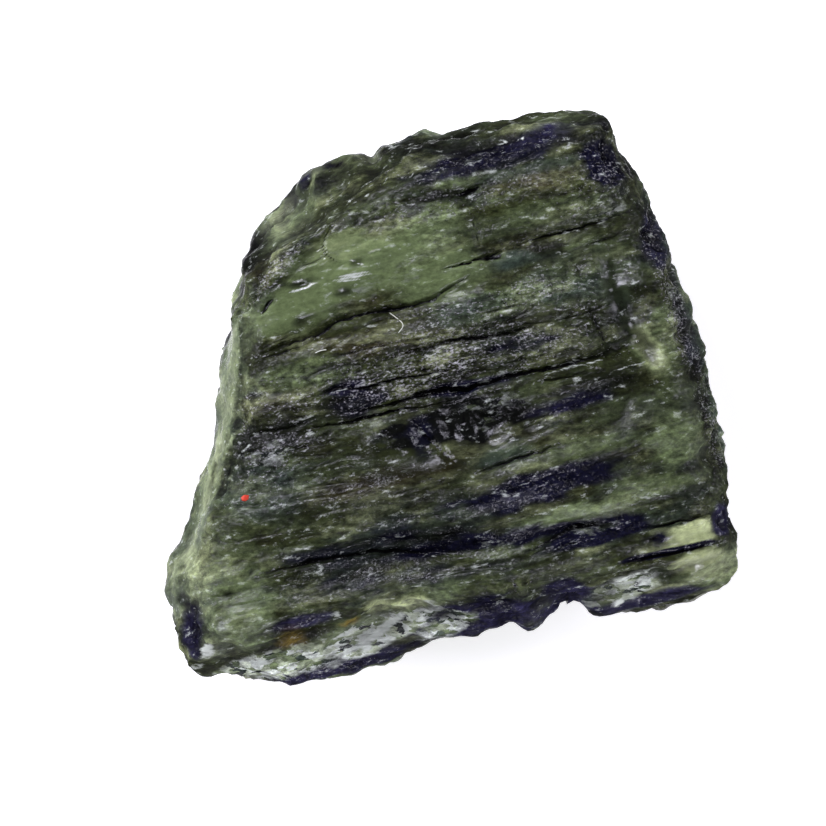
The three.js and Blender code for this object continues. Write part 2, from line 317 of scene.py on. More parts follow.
# Where the face shows each tone, in plan, with the numbers in the order of the fields of Patch.
FACE_PATCHES: dict[Tone, list[Patch]] = {
    Tone.MOSS: [
        Patch(-4.3, 5.1, 2.4, 0.9, 14, 0.9),
        Patch(-1.7, 6.3, 2.6, 1.3, 6, 1.0),
        Patch(1.9, 5.1, 2.1, 1.0, 2, 0.9),
        Patch(1.5, 7.1, 1.8, 0.9, 0, 0.7),
        Patch(7.2, 6.8, 3.0, 0.55, 3, 0.4),
        Patch(3.6, 9.2, 0.8, 0.6, 0, 0.6),
        Patch(8.7, 4.7, 1.6, 0.8, 0, 0.5),
        Patch(9.5, 3.3, 1.6, 0.45, -86, 0.35),
        Patch(10.45, -0.1, 1.3, 0.5, -70, 0.95),
        Patch(11.3, 0.6, 0.5, 1.4, 0, 0.45),
        Patch(9.6, -2.6, 2.4, 0.8, 0, 0.35),
        Patch(10.8, -4.2, 1.3, 1.1, 0, 0.7),
        Patch(5.4, -6.6, 2.6, 0.45, 2, 0.8),
        Patch(-9.4, -8.0, 1.5, 0.9, 60, 0.9),
        Patch(-4.2, -9.7, 2.6, 0.6, 8, 0.8),
        Patch(-11.2, -8.9, 0.7, 0.8, 0, 0.7),
        Patch(-10.2, -6.3, 2.2, 1.6, 0, 0.35),
        Patch(-1.2, -8.7, 1.4, 0.6, 0, 0.6),
        Patch(-4.6, 2.1, 2.2, 0.7, 0, 0.4),
        Patch(-4.3, 9.3, 1.8, 0.9, 35, 0.95),
        Patch(7.2, -3.7, 2.6, 0.5, 2, 0.4),
        Patch(9.8, -6.1, 2.2, 0.5, 0, 0.45),
        Patch(11.3, -10.2, 1.5, 0.9, 0, 0.75),
    ],
    # See-through places, also painted pale as a glow of light through thin glass.
    Tone.WINDOW: [
        Patch(10.75, -8.42, 0.95, 0.46, 0, 0.75, 0.25, 4),
        Patch(10.2, -8.6, 1.7, 0.5, 0, 0.4),
        Patch(10.7, -9.75, 1.2, 0.4, 6, 0.8, 0.45, 3),
        Patch(11.2, -10.1, 1.3, 0.8, 0, 0.3),
        Patch(9.0, -10.75, 0.9, 0.14, 3, 0.7, 0.4),
        Patch(-2.3, -8.95, 0.7, 0.35, 8, 0.5),
        Patch(-3.8, -8.75, 0.5, 0.3, 8, 0.4),
        Patch(-9.7, -8.1, 0.8, 0.5, 40, 0.15),
        Patch(-11.2, -4.5, 0.7, 3.2, -15, 0.16),
        Patch(-9.1, 1.5, 0.4, 3.0, -10, 0.2),
        Patch(10.45, -0.1, 1.0, 0.4, -70, 0.55),
        Patch(-11.5, -9.0, 0.35, 0.4, 0, 0.3),
        Patch(2.9, -10.6, 0.6, 0.35, 0, 0.7),
        Patch(7.0, -10.5, 0.9, 0.3, 10, 0.6),
        Patch(-1.6, -10.3, 0.9, 0.4, 0, 0.6),
        Patch(-4.4, 9.4, 1.1, 0.5, 35, 0.5),
        Patch(-3.6, -9.9, 1.6, 0.4, 8, 0.5),
    ],
    Tone.INK: [
        Patch(5.5, 9.75, 5.0, 0.6, 2, 0.75),
        Patch(10.1, 8.4, 0.8, 1.5, 20, 0.9),
        Patch(11.7, 4.4, 0.6, 1.1, 0, 0.6),
        Patch(-3.4, 10.6, 1.6, 0.45, 25, 0.8),
        Patch(-6.6, 8.0, 1.5, 0.4, 55, 0.6),
        Patch(-2.5, 0.2, 1.3, 0.5, 0, 0.55),
        Patch(-3.2, 1.0, 0.9, 0.3, 0, 0.7),
        Patch(5.2, 1.4, 1.8, 0.3, 0, 0.6),
        Patch(7.0, -1.6, 1.7, 0.45, 3, 0.85),
        Patch(2.0, 0.0, 2.2, 0.35, 0, 0.8),
        Patch(-0.3, -1.7, 0.5, 1.1, 0, 0.6),
        Patch(4.8, -5.0, 4.2, 0.7, 2, 0.85),
        Patch(-2.0, -5.3, 2.4, 0.4, 0, 0.5),
        Patch(1.5, -6.9, 5.0, 0.45, -3, 0.85),
        Patch(6.3, -7.6, 2.4, 0.45, 3, 1.0),
        Patch(-7.6, -8.75, 0.9, 0.28, 3, 0.95),
        Patch(0.6, -10.2, 3.4, 0.8, -5, 0.95),
        Patch(4.6, -9.8, 1.1, 0.6, -20, 0.9),
        Patch(-6.0, -11.0, 4.6, 0.45, 3, 0.8),
        Patch(7.6, -10.95, 3.4, 0.3, 0, 0.8),
        Patch(9.6, -9.08, 2.6, 0.16, 0, 0.95, 0.3),
        Patch(12.0, -8.3, 0.4, 0.7, 0, 0.9),
        Patch(9.1, -8.5, 0.5, 0.35, 0, 0.8),
        Patch(-12.1, -8.2, 0.45, 1.1, -10, 0.75),
        Patch(-2.0, -7.8, 4.0, 0.5, -4, 0.5),
        Patch(-4.6, -5.9, 3.4, 0.3, 0, 0.5),
    ],
    Tone.INDIGO: [
        Patch(0.6, -10.3, 3.6, 0.7, -5, 0.75),
        Patch(4.7, -10.2, 1.3, 0.7, -20, 0.7),
        Patch(7.8, -11.0, 3.2, 0.3, 2, 0.6),
        Patch(-6.2, -11.1, 4.4, 0.45, 3, 0.65),
        Patch(-12.1, -8.2, 0.5, 1.1, -10, 0.5),
        Patch(12.1, -8.2, 0.5, 0.7, 0, 0.7),
        Patch(11.9, 4.6, 0.6, 1.4, 0, 0.35),
        Patch(12.3, 0.6, 0.4, 2.4, 4, 0.35),
        Patch(6.2, 10.3, 5.0, 0.4, 2, 0.25),
        Patch(-4.4, 10.2, 2.2, 0.5, 30, 0.3),
        Patch(-7.2, -8.75, 1.2, 0.25, 3, 0.7),
        Patch(6.0, -1.6, 1.7, 0.4, 3, 0.2),
        Patch(-2.6, -0.6, 1.4, 0.5, 0, 0.2),
    ],
    Tone.UMBER: [
        Patch(-1.5, 2.9, 3.0, 0.7, 0, 0.45),
        Patch(-1.8, 4.9, 1.5, 0.5, 0, 0.5),
        Patch(4.8, 4.9, 1.4, 0.6, 0, 0.5),
        Patch(7.2, 4.4, 2.0, 0.5, 0, 0.5),
        Patch(7.4, 8.4, 2.6, 0.5, 0, 0.6),
        Patch(-5.4, 7.0, 1.5, 0.45, 36, 0.6),
        Patch(-2.6, -3.4, 3.0, 0.5, 0, 0.6),
        Patch(3.0, -2.9, 1.8, 0.4, 0, 0.4),
        Patch(-6.5, 1.2, 1.6, 0.5, 0, 0.4),
    ],
    Tone.TEAL: [
        Patch(3.4, 3.3, 2.6, 0.6, 0, 0.6),
        Patch(7.6, 3.5, 2.4, 0.9, 0, 0.6),
        Patch(5.4, 5.1, 0.9, 0.4, 0, 0.7),
        Patch(-7.6, -2.6, 2.0, 1.2, 0, 0.6),
        Patch(9.5, 2.9, 1.9, 0.45, -84, 0.85),
        Patch(12.1, 5.2, 0.35, 2.2, 8, 0.6),
        Patch(12.6, 1.0, 0.35, 2.6, 5, 0.6),
        Patch(12.8, -3.4, 0.35, 2.6, 0, 0.6),
        Patch(-2.6, -6.0, 4.0, 0.9, 0, 0.5),
        Patch(3.2, -3.4, 1.2, 0.6, 0, 0.6),
        Patch(6.5, 8.9, 3.0, 0.3, 0, 0.4),
        Patch(-11.6, -6.6, 0.8, 2.0, 0, 0.5),
    ],
    # Etched zones, where the painted glints crowd.
    Tone.FROST: [
        Patch(1.0, 1.3, 7.4, 1.9, 0, 0.8),
        Patch(4.0, 3.3, 4.2, 0.8, 0, 0.7),
        Patch(9.4, 8.0, 1.8, 1.6, 0, 0.5),
        Patch(8.0, 3.0, 3.0, 2.0, 0, 0.5),
        Patch(3.0, -1.7, 4.6, 1.1, 0, 0.25),
        Patch(-5.2, 6.6, 2.2, 0.4, 38, 0.95),
        Patch(11.7, 4.4, 0.7, 1.2, 0, 0.6),
        Patch(11.9, 1.4, 0.5, 2.6, 4, 0.8),
        Patch(12.5, -3.0, 0.4, 3.4, 0, 0.7),
        Patch(4.5, -5.0, 5.0, 0.9, 0, 0.3),
        Patch(5.5, 9.6, 5.0, 0.7, 2, 0.35),
        Patch(-6.0, -11.0, 4.6, 0.5, 3, 0.6),
        Patch(2.0, 8.2, 4.0, 0.8, 0, 0.6),
        Patch(-6.5, -0.6, 2.4, 2.0, 0, 0.5),
    ],
    Tone.GLOSS: [
        Patch(-4.3, 5.1, 2.6, 1.1, 14, 0.9),
        Patch(-1.7, 6.2, 2.8, 1.4, 6, 0.95),
        Patch(1.9, 5.1, 2.1, 1.0, 2, 0.7),
        Patch(10.6, -9.1, 1.6, 1.3, 0, 0.9),
        Patch(9.7, 2.2, 2.9, 0.5, -80, 0.8),
        Patch(-3.8, -10.1, 3.0, 0.8, 6, 0.9),
        Patch(6.9, -10.6, 1.6, 0.5, 0, 0.9),
        Patch(-9.6, -8.0, 1.6, 1.1, 0, 0.2),
        Patch(0.8, -2.0, 3.2, 1.2, 0, 0.8),
        Patch(-4.3, 9.3, 2.0, 1.0, 35, 0.5),
    ],
    Tone.RUST: [
        Patch(-7.8, -9.5, 0.55, 0.45, 0, 0.62, 0.9),
        Patch(-5.1, -9.2, 0.5, 0.1, 8, 0.6),
    ],
    Tone.NIGHT: [
        Patch(1.4, -1.5, 3.4, 1.2, 0, 0.95),
        Patch(5.5, 9.8, 5.0, 0.7, 2, 0.35),
        Patch(-6.6, -0.4, 2.4, 1.4, 0, 0.55),
        Patch(-3.0, 0.3, 1.6, 0.7, 0, 0.75),
        Patch(-2.6, -3.5, 3.2, 1.0, 0, 0.4),
        Patch(-2.8, -6.4, 4.6, 1.0, 0, 0.7),
        Patch(5.0, -5.0, 4.0, 0.8, 2, 0.8),
        Patch(5.0, 2.3, 3.4, 0.5, 0, 0.5),
        Patch(7.4, -1.2, 2.4, 0.7, 0, 0.6),
        Patch(9.4, 6.0, 1.8, 1.2, -10, 0.4),
        Patch(9.0, 3.0, 2.4, 2.2, 0, 0.35),
        Patch(-6.0, -2.4, 3.0, 2.4, 0, 0.4),
        Patch(-1.0, -4.4, 5.0, 1.0, 0, 0.4),
        Patch(7.8, -2.4, 4.0, 1.0, 0, 0.35),
        Patch(-6.4, 7.6, 2.4, 0.5, 40, 0.6),
        Patch(-2.4, 10.4, 1.8, 0.5, 18, 0.8),
        Patch(2.2, 11.0, 2.4, 0.4, 0, 0.6),
        Patch(11.7, 6.4, 0.5, 3.0, 10, 0.4),
        Patch(12.1, -1.0, 0.3, 2.6, 0, 0.25),
        Patch(12.4, -7.0, 0.5, 2.0, 0, 0.35),
        Patch(0.6, -10.3, 4.2, 0.9, -5, 0.7),
        Patch(-7.4, -11.2, 3.4, 0.4, 3, 0.6),
        Patch(3.0, 8.6, 1.2, 0.3, 0, 0.7),
        Patch(-4.05, 6.05, 0.6, 0.16, 3, 0.6),
        Patch(-2.3, 5.2, 0.4, 0.2, 0, 0.35),
        Patch(1.0, 3.3, 3.0, 0.6, 0, 0.35),
        Patch(-2.0, -3.5, 3.0, 0.8, 0, 0.5),
        Patch(-6.8, -0.5, 2.2, 1.2, 0, 0.7),
        Patch(7.2, 6.8, 3.0, 0.5, 3, 0.35),
        Patch(-1.5, 6.4, 0.25, 0.2, 0, 0.5),
        Patch(-4.4, 4.35, 0.5, 0.25, 10, 0.6),
        Patch(-9.8, 1.0, 0.4, 2.6, 0, 0.3),
    ],
    # Fresh chips, whose facets get painted light and highlights.
    Tone.CHIP: [
        Patch(-4.2, -10.0, 2.6, 0.7, 12, 1.0, 0.35),
        Patch(-8.6, -10.4, 2.6, 0.6, 0, 0.95),
        Patch(-11.2, -9.2, 0.7, 0.7, 0, 0.2),
        Patch(7.3, -10.3, 1.5, 0.5, 8, 0.9),
        Patch(-0.9, -10.3, 1.3, 0.4, 8, 0.7),
        Patch(-9.6, -8.6, 1.3, 0.9, 40, 0.12),
    ],
    # Painted highlights: white flashes of inner cracks and chipped facets.
    Tone.FLASH_HIGHLIGHT: [
        Patch(-1.6, 5.93, 0.85, 0.04, -2, 0.8, 0.5),
        Patch(-1.75, 5.82, 0.75, 0.03, -3, 0.8, 0.5),
        Patch(-1.9, 5.7, 0.5, 0.03, -5, 0.7, 0.5),
        Patch(-4.24, 5.77, 0.42, 0.03, 2, 0.8, 0.4),
        Patch(-3.5, -9.7, 0.8, 0.14, 22, 1.0, 0.5),
        Patch(-4.2, -9.95, 0.9, 0.3, 15, 0.6, 0.5),
        Patch(-4.7, -10.35, 0.3, 0.3, -30, 1.0, 0.5),
        Patch(-5.4, -9.7, 0.6, 0.08, 10, 0.8, 0.5),
        Patch(-9.4, -10.15, 0.5, 0.1, -15, 0.9, 0.5),
        Patch(-11.6, -9.15, 0.3, 0.25, 30, 0.8, 0.5),
        Patch(6.85, -10.8, 0.25, 0.14, 10, 0.9, 0.5),
        Patch(7.6, -10.05, 0.7, 0.08, -5, 0.7, 0.5),
        Patch(8.1, -9.75, 0.5, 0.06, 5, 0.6, 0.5),
        Patch(6.4, 10.3, 0.8, 0.03, 3, 0.45, 0.4),
        Patch(-8.1, -0.7, 0.35, 0.05, 35, 0.5, 0.5),
        Patch(7.2, -0.12, 2.0, 0.03, 2, 0.5, 0.4),
        Patch(6.6, 0.12, 1.6, 0.03, 2, 0.45, 0.4),
        Patch(9.4, -0.62, 0.7, 0.03, 4, 0.45, 0.4),
    ],
}

# The cracks and furrows that the eye finds first, in millimetres in plan.
FACE_CUTS: tuple[Cut, ...] = (
    Cut(
        ((-6.9, 3.2), (-5.5, 3.5), (-4, 3.7), (-3, 4.1), (-1.5, 4.2), (0, 4.05), (1.5, 4.1), (3.3, 4.8)),
        0.32,
        0.08,
        1,
    ),
    Cut(((-6.8, 3.05), (-5.2, 3.3), (-3.9, 3.5)), 0.2, 0.06, 0.9),
    Cut(((2.1, 5.25), (4, 5.45), (5.2, 5.6)), 0.22, 0.06, 1),
    Cut(((4.0, 5.42), (4.7, 5.38), (5.0, 5.5)), 0.25, 0.11, 1),
    Cut(((5.2, 5.65), (7, 5.82), (9, 5.9), (10.3, 6.05), (11.2, 6.2)), 0.2, 0.06, 0.9),
    Cut(((8.6, 5.0), (9.8, 5.1), (10.6, 5.3)), 0.16, 0.06, 0.8),
    Cut(((3.2, 3.6), (4, 3.7), (4.8, 3.8)), 0.14, 0.05, 0.8),
    Cut(((0, 1.95), (2, 2.1), (4, 1.9), (5.8, 2.0)), 0.3, 0.10, 0.8),
    Cut(((-1, 1.35), (1.5, 1.5), (3.5, 1.35), (6, 1.5)), 0.22, 0.08, 0.7),
    Cut(((-5, 0.95), (-3.4, 1.15), (-2.4, 0.85), (-1, 0.95), (2, 0.9)), 0.3, 0.11, 1),
    Cut(((-4, 0.05), (-2, -0.1), (0, 0.1), (2, -0.1), (4, 0.1), (6.5, 0.05), (10, 0.2)), 0.34, 0.11, 1),
    Cut(((-5.4, -0.4), (-3, -0.5), (-1, -0.42), (1.8, -0.5)), 0.28, 0.08, 0.9),
    Cut(((5, -0.45), (6.5, -0.5), (8, -0.4)), 0.22, 0.08, 0.8),
    Cut(((-0.6, -0.9), (-0.1, -1.7), (0.5, -2.5), (0.9, -3.3)), 0.3, 0.09, 0.9),
    Cut(((1.9, -0.7), (1.7, -1.5), (1.8, -2.2)), 0.26, 0.09, 0.9),
    Cut(((-1.9, -1.0), (-1.6, -1.8), (-1.2, -2.4)), 0.2, 0.09, 0.5),
    Cut(((3.5, -0.8), (3.3, -1.6), (3.6, -2.4)), 0.2, 0.10, 0.5),
    Cut(((1.6, -3.9), (2.8, -3.7), (4, -3.55), (5.8, -3.4)), 0.22, 0.08, 0.9),
    Cut(((4, -2.3), (5.2, -2.05), (6.4, -1.8)), 0.16, 0.05, 0.5),
    Cut(((-9, -6.35), (-6, -6.2), (-3.4, -6.3), (-1.4, -6.8), (0.6, -7.2)), 0.3, 0.10, 0.9),
    Cut(((3.2, -7.9), (4.2, -7.4), (5.4, -7.1), (6.4, -7.2), (7.6, -7.55)), 0.3, 0.11, 1),
    Cut(((4.2, -8.1), (5, -7.8), (5.9, -7.7)), 0.18, 0.06, 0.9),
    Cut(((8.2, -7.8), (9.6, -7.85), (11.8, -7.8)), 0.22, 0.06, 1),
    Cut(((7.2, -9.2), (9, -9.15), (10.4, -9.2), (11.9, -9.15)), 0.26, 0.09, 1),
    Cut(((-1, -7.9), (1, -8.0), (2.4, -8.3)), 0.14, 0.06, 0.6),
    Cut(((-2.25, 8.3), (-2.55, 7.9), (-2.86, 7.4), (-2.74, 7.0), (-2.4, 6.7), (-2.1, 6.4)), 0.18, 0.05, 0.9),
    Cut(((-2.74, 7.0), (-3.1, 6.9), (-3.5, 6.8), (-4.2, 6.7)), 0.12, 0.05, 0.6),
    Cut(((-0.8, 5.5), (-0.82, 5.0), (-1.1, 4.5)), 0.1, 0.06, 0.5),
    Cut(((-0.8, 6.7), (-0.4, 6.7), (0.1, 6.5)), 0.1, 0.05, 0.6),
    Cut(((-6.3, 5.0), (-5.9, 5.35), (-5.4, 5.65)), 0.25, 0.15, 1),
    Cut(((3.3, 8.5), (3.9, 8.35), (4.7, 8.6)), 0.3, 0.12, 1),
    Cut(((3.9, 7.3), (4.05, 6.7), (4, 5.9)), 0.2, 0.08, 0.8),
    Cut(((8.2, 2.6), (8.5, 1.6), (8.7, 0.5), (9, 0.2)), 0.28, 0.12, 0.9),
    Cut(((1.2, -8.6), (1.2, -9.1), (1.15, -9.5)), 0.14, 0.05, 0.8),
    Cut(((2.35, -8.7), (2.4, -9.1), (2.35, -9.6)), 0.16, 0.06, 0.9),
    Cut(((3.05, -8.9), (3.1, -9.3), (3, -9.8)), 0.2, 0.08, 1),
    Cut(((-8, 1.55), (-7.2, 1.5), (-6.5, 1.5)), 0.16, 0.10, 0.5),
    Cut(((-7.5, -0.1), (-6, -0.2), (-4.5, 0.1)), 0.16, 0.08, 0.6),
    Cut(((-9.8, -3.0), (-8, -3.2), (-6.8, -3.4)), 0.14, 0.09, 0.6),
)


@dataclass(frozen=True)
class Mound:
    """A small rise of the broad face, or a pit where its height is negative, in plan, in millimetres."""

    x: float
    y: float
    half_length: float
    half_width: float
    height: float
    turn: float = 0.0

    def rise(self, plan: np.ndarray) -> np.ndarray:
        """Gives how far the mound lifts each plan point.

        Args:
            plan: Rows of x and y in millimetres.

        Returns:
            One height for each point, in millimetres.
        """
        angle = math.radians(self.turn)
        offset = plan - (self.x, self.y)
        along = offset @ (math.cos(angle), math.sin(angle)) / self.half_length
        across = offset @ (-math.sin(angle), math.cos(angle)) / self.half_width
        return self.height * np.exp(-(along**2) - across**2)


@dataclass(frozen=True)
class Growth:
    """A place of the outline, in plan, where the flank stands out, or in where the push is negative."""

    x: float
    y: float
    reach: float
    push: float

    def pull(self, points: np.ndarray) -> np.ndarray:
        """Gives how far each point is pushed outwards, in millimetres."""
        gap = np.hypot(points[:, 0] - self.x, points[:, 1] - self.y)
        return self.push * np.exp(-((gap / self.reach) ** 2))


# The small steps, lobes and the notch of the outline, seen from above.
OUTLINE_GROWTHS: tuple[Growth, ...] = (
    Growth(-0.6, 11.0, 0.9, 0.3),
    Growth(0.75, 11.1, 0.45, 0.3),
    Growth(0.15, 11.0, 0.25, -0.2),
    Growth(2.0, 11.3, 1.2, 0.22),
    Growth(-3.4, 10.4, 0.9, 0.28),
    Growth(-5.8, 8.4, 1.2, 0.22),
    Growth(-7.2, 6.2, 1.0, -0.18),
    Growth(-8.5, 2.6, 1.0, 0.22),
    Growth(10.6, 10.2, 1.0, 0.5),
    Growth(11.4, 7.9, 0.9, 0.22),
    Growth(11.7, 6.0, 0.7, 0.35),
    Growth(12.3, 4.1, 0.6, 0.2),
    Growth(12.5, 2.5, 0.6, -0.16),
    Growth(12.8, 0.8, 0.6, 0.2),
    Growth(12.9, -1.2, 1.2, 0.2),
    Growth(12.5, -8.6, 0.7, 0.1),
    Growth(12.4, -10.4, 0.8, -0.1),
    Growth(9.0, -11.4, 1.6, 0.18),
    Growth(4.65, -10.1, 0.55, 1.05),
    Growth(3.8, -10.6, 0.4, 0.55),
    Growth(5.9, -11.0, 0.8, 0.55),
    Growth(2.7, -10.9, 0.6, 0.7),
    Growth(1.3, -10.7, 0.8, 0.3),
    Growth(0.1, -10.8, 0.5, 0.35),
    Growth(-2.0, -10.9, 0.9, 0.22),
    Growth(-3.6, -11.3, 0.8, 0.3),
    Growth(-6.0, -11.5, 1.0, 0.15),
    Growth(-8.4, -11.2, 1.8, 0.22),
    Growth(-12.1, -9.4, 1.2, 0.5),
    Growth(-12.7, -6.2, 1.0, 0.22),
)

# The humps, cups and crescent pits of the face, in millimetres in plan.
FACE_MOUNDS: tuple[Mound, ...] = (
    Mound(0.45, -1.7, 0.36, 0.6, 0.36, 10),
    Mound(1.75, -1.6, 0.36, 0.65, 0.38, -5),
    Mound(-0.9, -1.8, 0.4, 0.6, 0.3, 15),
    Mound(-2.2, -1.45, 0.45, 0.55, 0.24, 0),
    Mound(2.9, -1.1, 0.5, 0.5, 0.3, 0),
    Mound(3.4, -2.3, 0.8, 0.35, 0.18, 0),
    Mound(-1.5, 0.35, 0.9, 0.3, 0.22, 0),
    Mound(-5.0, -1.4, 0.9, 0.5, 0.16, 10),
    Mound(-7.2, -1.3, 0.9, 0.5, 0.16, -5),
    Mound(3.5, 9.2, 0.6, 0.42, 0.22, 0),
    Mound(-4.1, 6.0, 0.6, 0.16, -0.16, 3),
    Mound(-1.7, 6.15, 0.9, 0.2, 0.12, -2),
    Mound(-1.5, 6.45, 0.25, 0.2, -0.12, 0),
    Mound(-2.3, 5.2, 0.35, 0.2, -0.12, 0),
    Mound(-3.5, 7.2, 0.9, 0.25, -0.14, 25),
    Mound(-4.4, 4.4, 0.5, 0.25, -0.12, 10),
    Mound(-1.2, 6.8, 1.1, 0.4, 0.14, 5),
    Mound(1.75, -9.1, 0.3, 0.45, 0.2, 0),
    Mound(2.75, -9.3, 0.25, 0.5, 0.25, 0),
    Mound(8.8, -8.4, 0.28, 0.22, -0.3, 0),
    Mound(9.5, 3.4, 0.4, 1.2, -0.2, 2),
    Mound(9.7, 1.6, 0.4, 1.1, -0.24, 10),
    Mound(10.3, 0.1, 0.4, 0.9, -0.18, 20),
    Mound(-9.5, -5.6, 0.3, 0.16, -0.16, 35),
    Mound(-9.0, -6.1, 0.3, 0.14, -0.16, 30),
    Mound(-8.3, -5.5, 0.3, 0.14, -0.14, 25),
    Mound(-7.6, -5.8, 0.35, 0.14, -0.14, 20),
    Mound(-4.6, -5.3, 0.4, 0.15, -0.16, 15),
    Mound(-3.6, -5.2, 0.4, 0.15, -0.16, 15),
    Mound(-10.2, -6.9, 0.28, 0.2, -0.16, 40),
    Mound(-9.7, -9.1, 0.16, 0.4, -0.2, 10),
    Mound(-8.9, -9.1, 0.16, 0.35, -0.2, -10),
    Mound(6.0, -8.6, 0.8, 0.4, 0.16, 0),
    Mound(5.4, -6.5, 1.6, 0.25, 0.12, 0),
)


@dataclass(frozen=True)
class MoldaviteGlass:
    """Natural silica glass, quenched and then etched by groundwater.

    The glass itself is bottle green, so thin places glow yellow-green and thick ones go nearly black.
    Etching leaves most of the skin dull and full of pin-point glints, while fresh chips and the smooth
    pane stay glassy. Flow layers show as streaks of moss, brown-olive and blue-black.
    """

    name: str = "moldavite_glass"
    ior: float = 1.49
    deep: str = "#191c0f"
    body: str = "#32381d"
    night: str = "#090a08"
    moss: str = "#68774e"
    ink: str = "#0c0c1a"
    # Painted glow of light through thin glass.
    window_glow: str = "#d9e6a6"
    indigo: str = "#24223a"
    umber: str = "#302b17"
    teal: str = "#3a463b"
    # Painted glint colour of the etched skin.
    frost_and_glint: str = "#d6d4da"
    rust: str = "#80691f"
    # Painted highlight of the white flashes.
    flash_highlight: str = "#d9e0d6"
    # Painted light on the chips' facets, dimmer and brighter.
    dim_lit_facet: str = "#8f9b7a"
    bright_lit_facet: str = "#b4bea2"
    # Painted shade in the cracks.
    crack: str = "#050506"
    depths: str = "#8fae55"
    absorption: float = 330.0
    etched_roughness: float = 0.36
    glassy_roughness: float = 0.18
    shine: float = 0.0
    skin_roughness: float = 0.16
    chip_mm: float = 0.3
    chip_warp_mm: float = 2.0
    chip_bump_mm: float = 0.25
    grain_mm: float = 0.09
    speckle_mm: float = 0.2
    lamina_mm: float = 0.3
    mottle_mm: float = 1.5
    grain_bump_mm: float = 0.018
    speckle_bump_mm: float = 0.05
    lamina_bump_mm: float = 0.045

    def _attribute(self, tree: bpy.types.NodeTree, tone: Tone) -> bpy.types.NodeSocket:
        """Gives the socket that reads one tone from the mesh."""
        node = add_node(tree, "ShaderNodeAttribute", {"attribute_name": tone.value})
        return node.outputs["Fac"]

    def _broken(
        self,
        tree: bpy.types.NodeTree,
        share: bpy.types.NodeSocket,
        noise: bpy.types.NodeSocket,
        spread: float,
        softness: float,
    ) -> bpy.types.NodeSocket:
        """Breaks a soft share into flecks that follow a noise.

        Args:
            tree: The node tree.
            share: The soft share, 0 to 1.
            noise: A noise of about 0.2 to 0.8.
            spread: How wide the zone of flecks is.
            softness: How slowly each fleck fades at its edge.

        Returns:
            The crisp share.
        """
        centred = {"operation": "MULTIPLY_ADD", 1: spread, 2: -0.5 * spread}
        shift = add_node(tree, "ShaderNodeMath", centred, {0: noise})
        total = add_node(tree, "ShaderNodeMath", {"operation": "ADD"}, {0: share, 1: shift})
        limits = {1: 0.45 - softness, 2: 0.45 + softness}
        return add_node(tree, "ShaderNodeMapRange", limits, {0: total}).outputs[0]

    def _kept_in(
        self, tree: bpy.types.NodeTree, crisp: bpy.types.NodeSocket, share: bpy.types.NodeSocket
    ) -> bpy.types.NodeSocket:
        """Takes away the flecks that lie outside a soft share."""
        inside = add_node(tree, "ShaderNodeMapRange", {1: 0.0, 2: 0.3}, {0: share})
        return add_node(tree, "ShaderNodeMath", {"operation": "MULTIPLY"}, {0: crisp, 1: inside}).outputs[0]

    def _mix(
        self, tree: bpy.types.NodeTree, share: bpy.types.NodeSocket, under: bpy.types.NodeSocket, colour: str
    ) -> bpy.types.NodeSocket:
        """Lays one colour over another by a share.

        Args:
            tree: The node tree.
            share: How much of the new colour shows, 0 to 1.
            under: The colour beneath.
            colour: The new colour as sRGB hex.

        Returns:
            The mixed colour.
        """
        node = add_node(tree, "ShaderNodeMix", {"data_type": "RGBA"}, {0: share, 6: under})
        node.inputs[7].default_value = linear(colour)
        return node.outputs[2]

    def make(self) -> bpy.types.Material:
        """Builds the material.

        Returns:
            A material that reads the tones painted on the mesh and Object coordinates.
        """
        material = bpy.data.materials.new(self.name)
        material.use_nodes = True
        tree = material.node_tree
        tree.nodes.clear()
        place = add_node(tree, "ShaderNodeTexCoord").outputs["Object"]
        tones = {tone: self._attribute(tree, tone) for tone in Tone}

        # Streaks of colour along the flow, a millimetre or so across and several long, broken up finely.
        stretched = add_node(tree, "ShaderNodeMapping", {"Scale": (0.4, 1.0, 0.8)}, {0: place})
        mottle = add_node(
            tree,
            "ShaderNodeTexNoise",
            {"Scale": 1 / (self.mottle_mm * MM), "Detail": 7.0, "Roughness": 0.68},
            {"Vector": stretched},
        )
        mottles = add_node(tree, "ShaderNodeSeparateColor", links={0: mottle.outputs["Color"]}).outputs
        # Thin layers of the flow, which the etching has opened.
        laid = add_node(tree, "ShaderNodeMapping", {"Scale": (0.45, 1.0, 0.7)}, {0: place})
        lamina = add_node(
            tree,
            "ShaderNodeTexNoise",
            {"Scale": 1 / (self.lamina_mm * MM), "Detail": 6.0, "Roughness": 0.68},
            {"Vector": laid},
        )
        pitted = add_node(tree, "ShaderNodeMapping", {"Scale": (0.7, 1.0, 0.85)}, {0: place})
        speckle = add_node(
            tree,
            "ShaderNodeTexNoise",
            {"Scale": 1 / (self.speckle_mm * MM), "Detail": 4.0, "Roughness": 0.7},
            {"Vector": pitted},
        )
        grain = add_node(
            tree, "ShaderNodeTexNoise", {"Scale": 1 / (self.grain_mm * MM), "Detail": 3.0}, {"Vector": pitted}
        )

        streaks = add_node(tree, "ShaderNodeMapRange", {1: 0.4, 2: 0.62}, {0: mottles[0]})
        body = add_node(tree, "ShaderNodeMix", {"data_type": "RGBA"}, {0: streaks.outputs[0]})
        body.inputs[6].default_value = linear(self.deep)
        body.inputs[7].default_value = linear(self.body)
        colour = body.outputs[2]
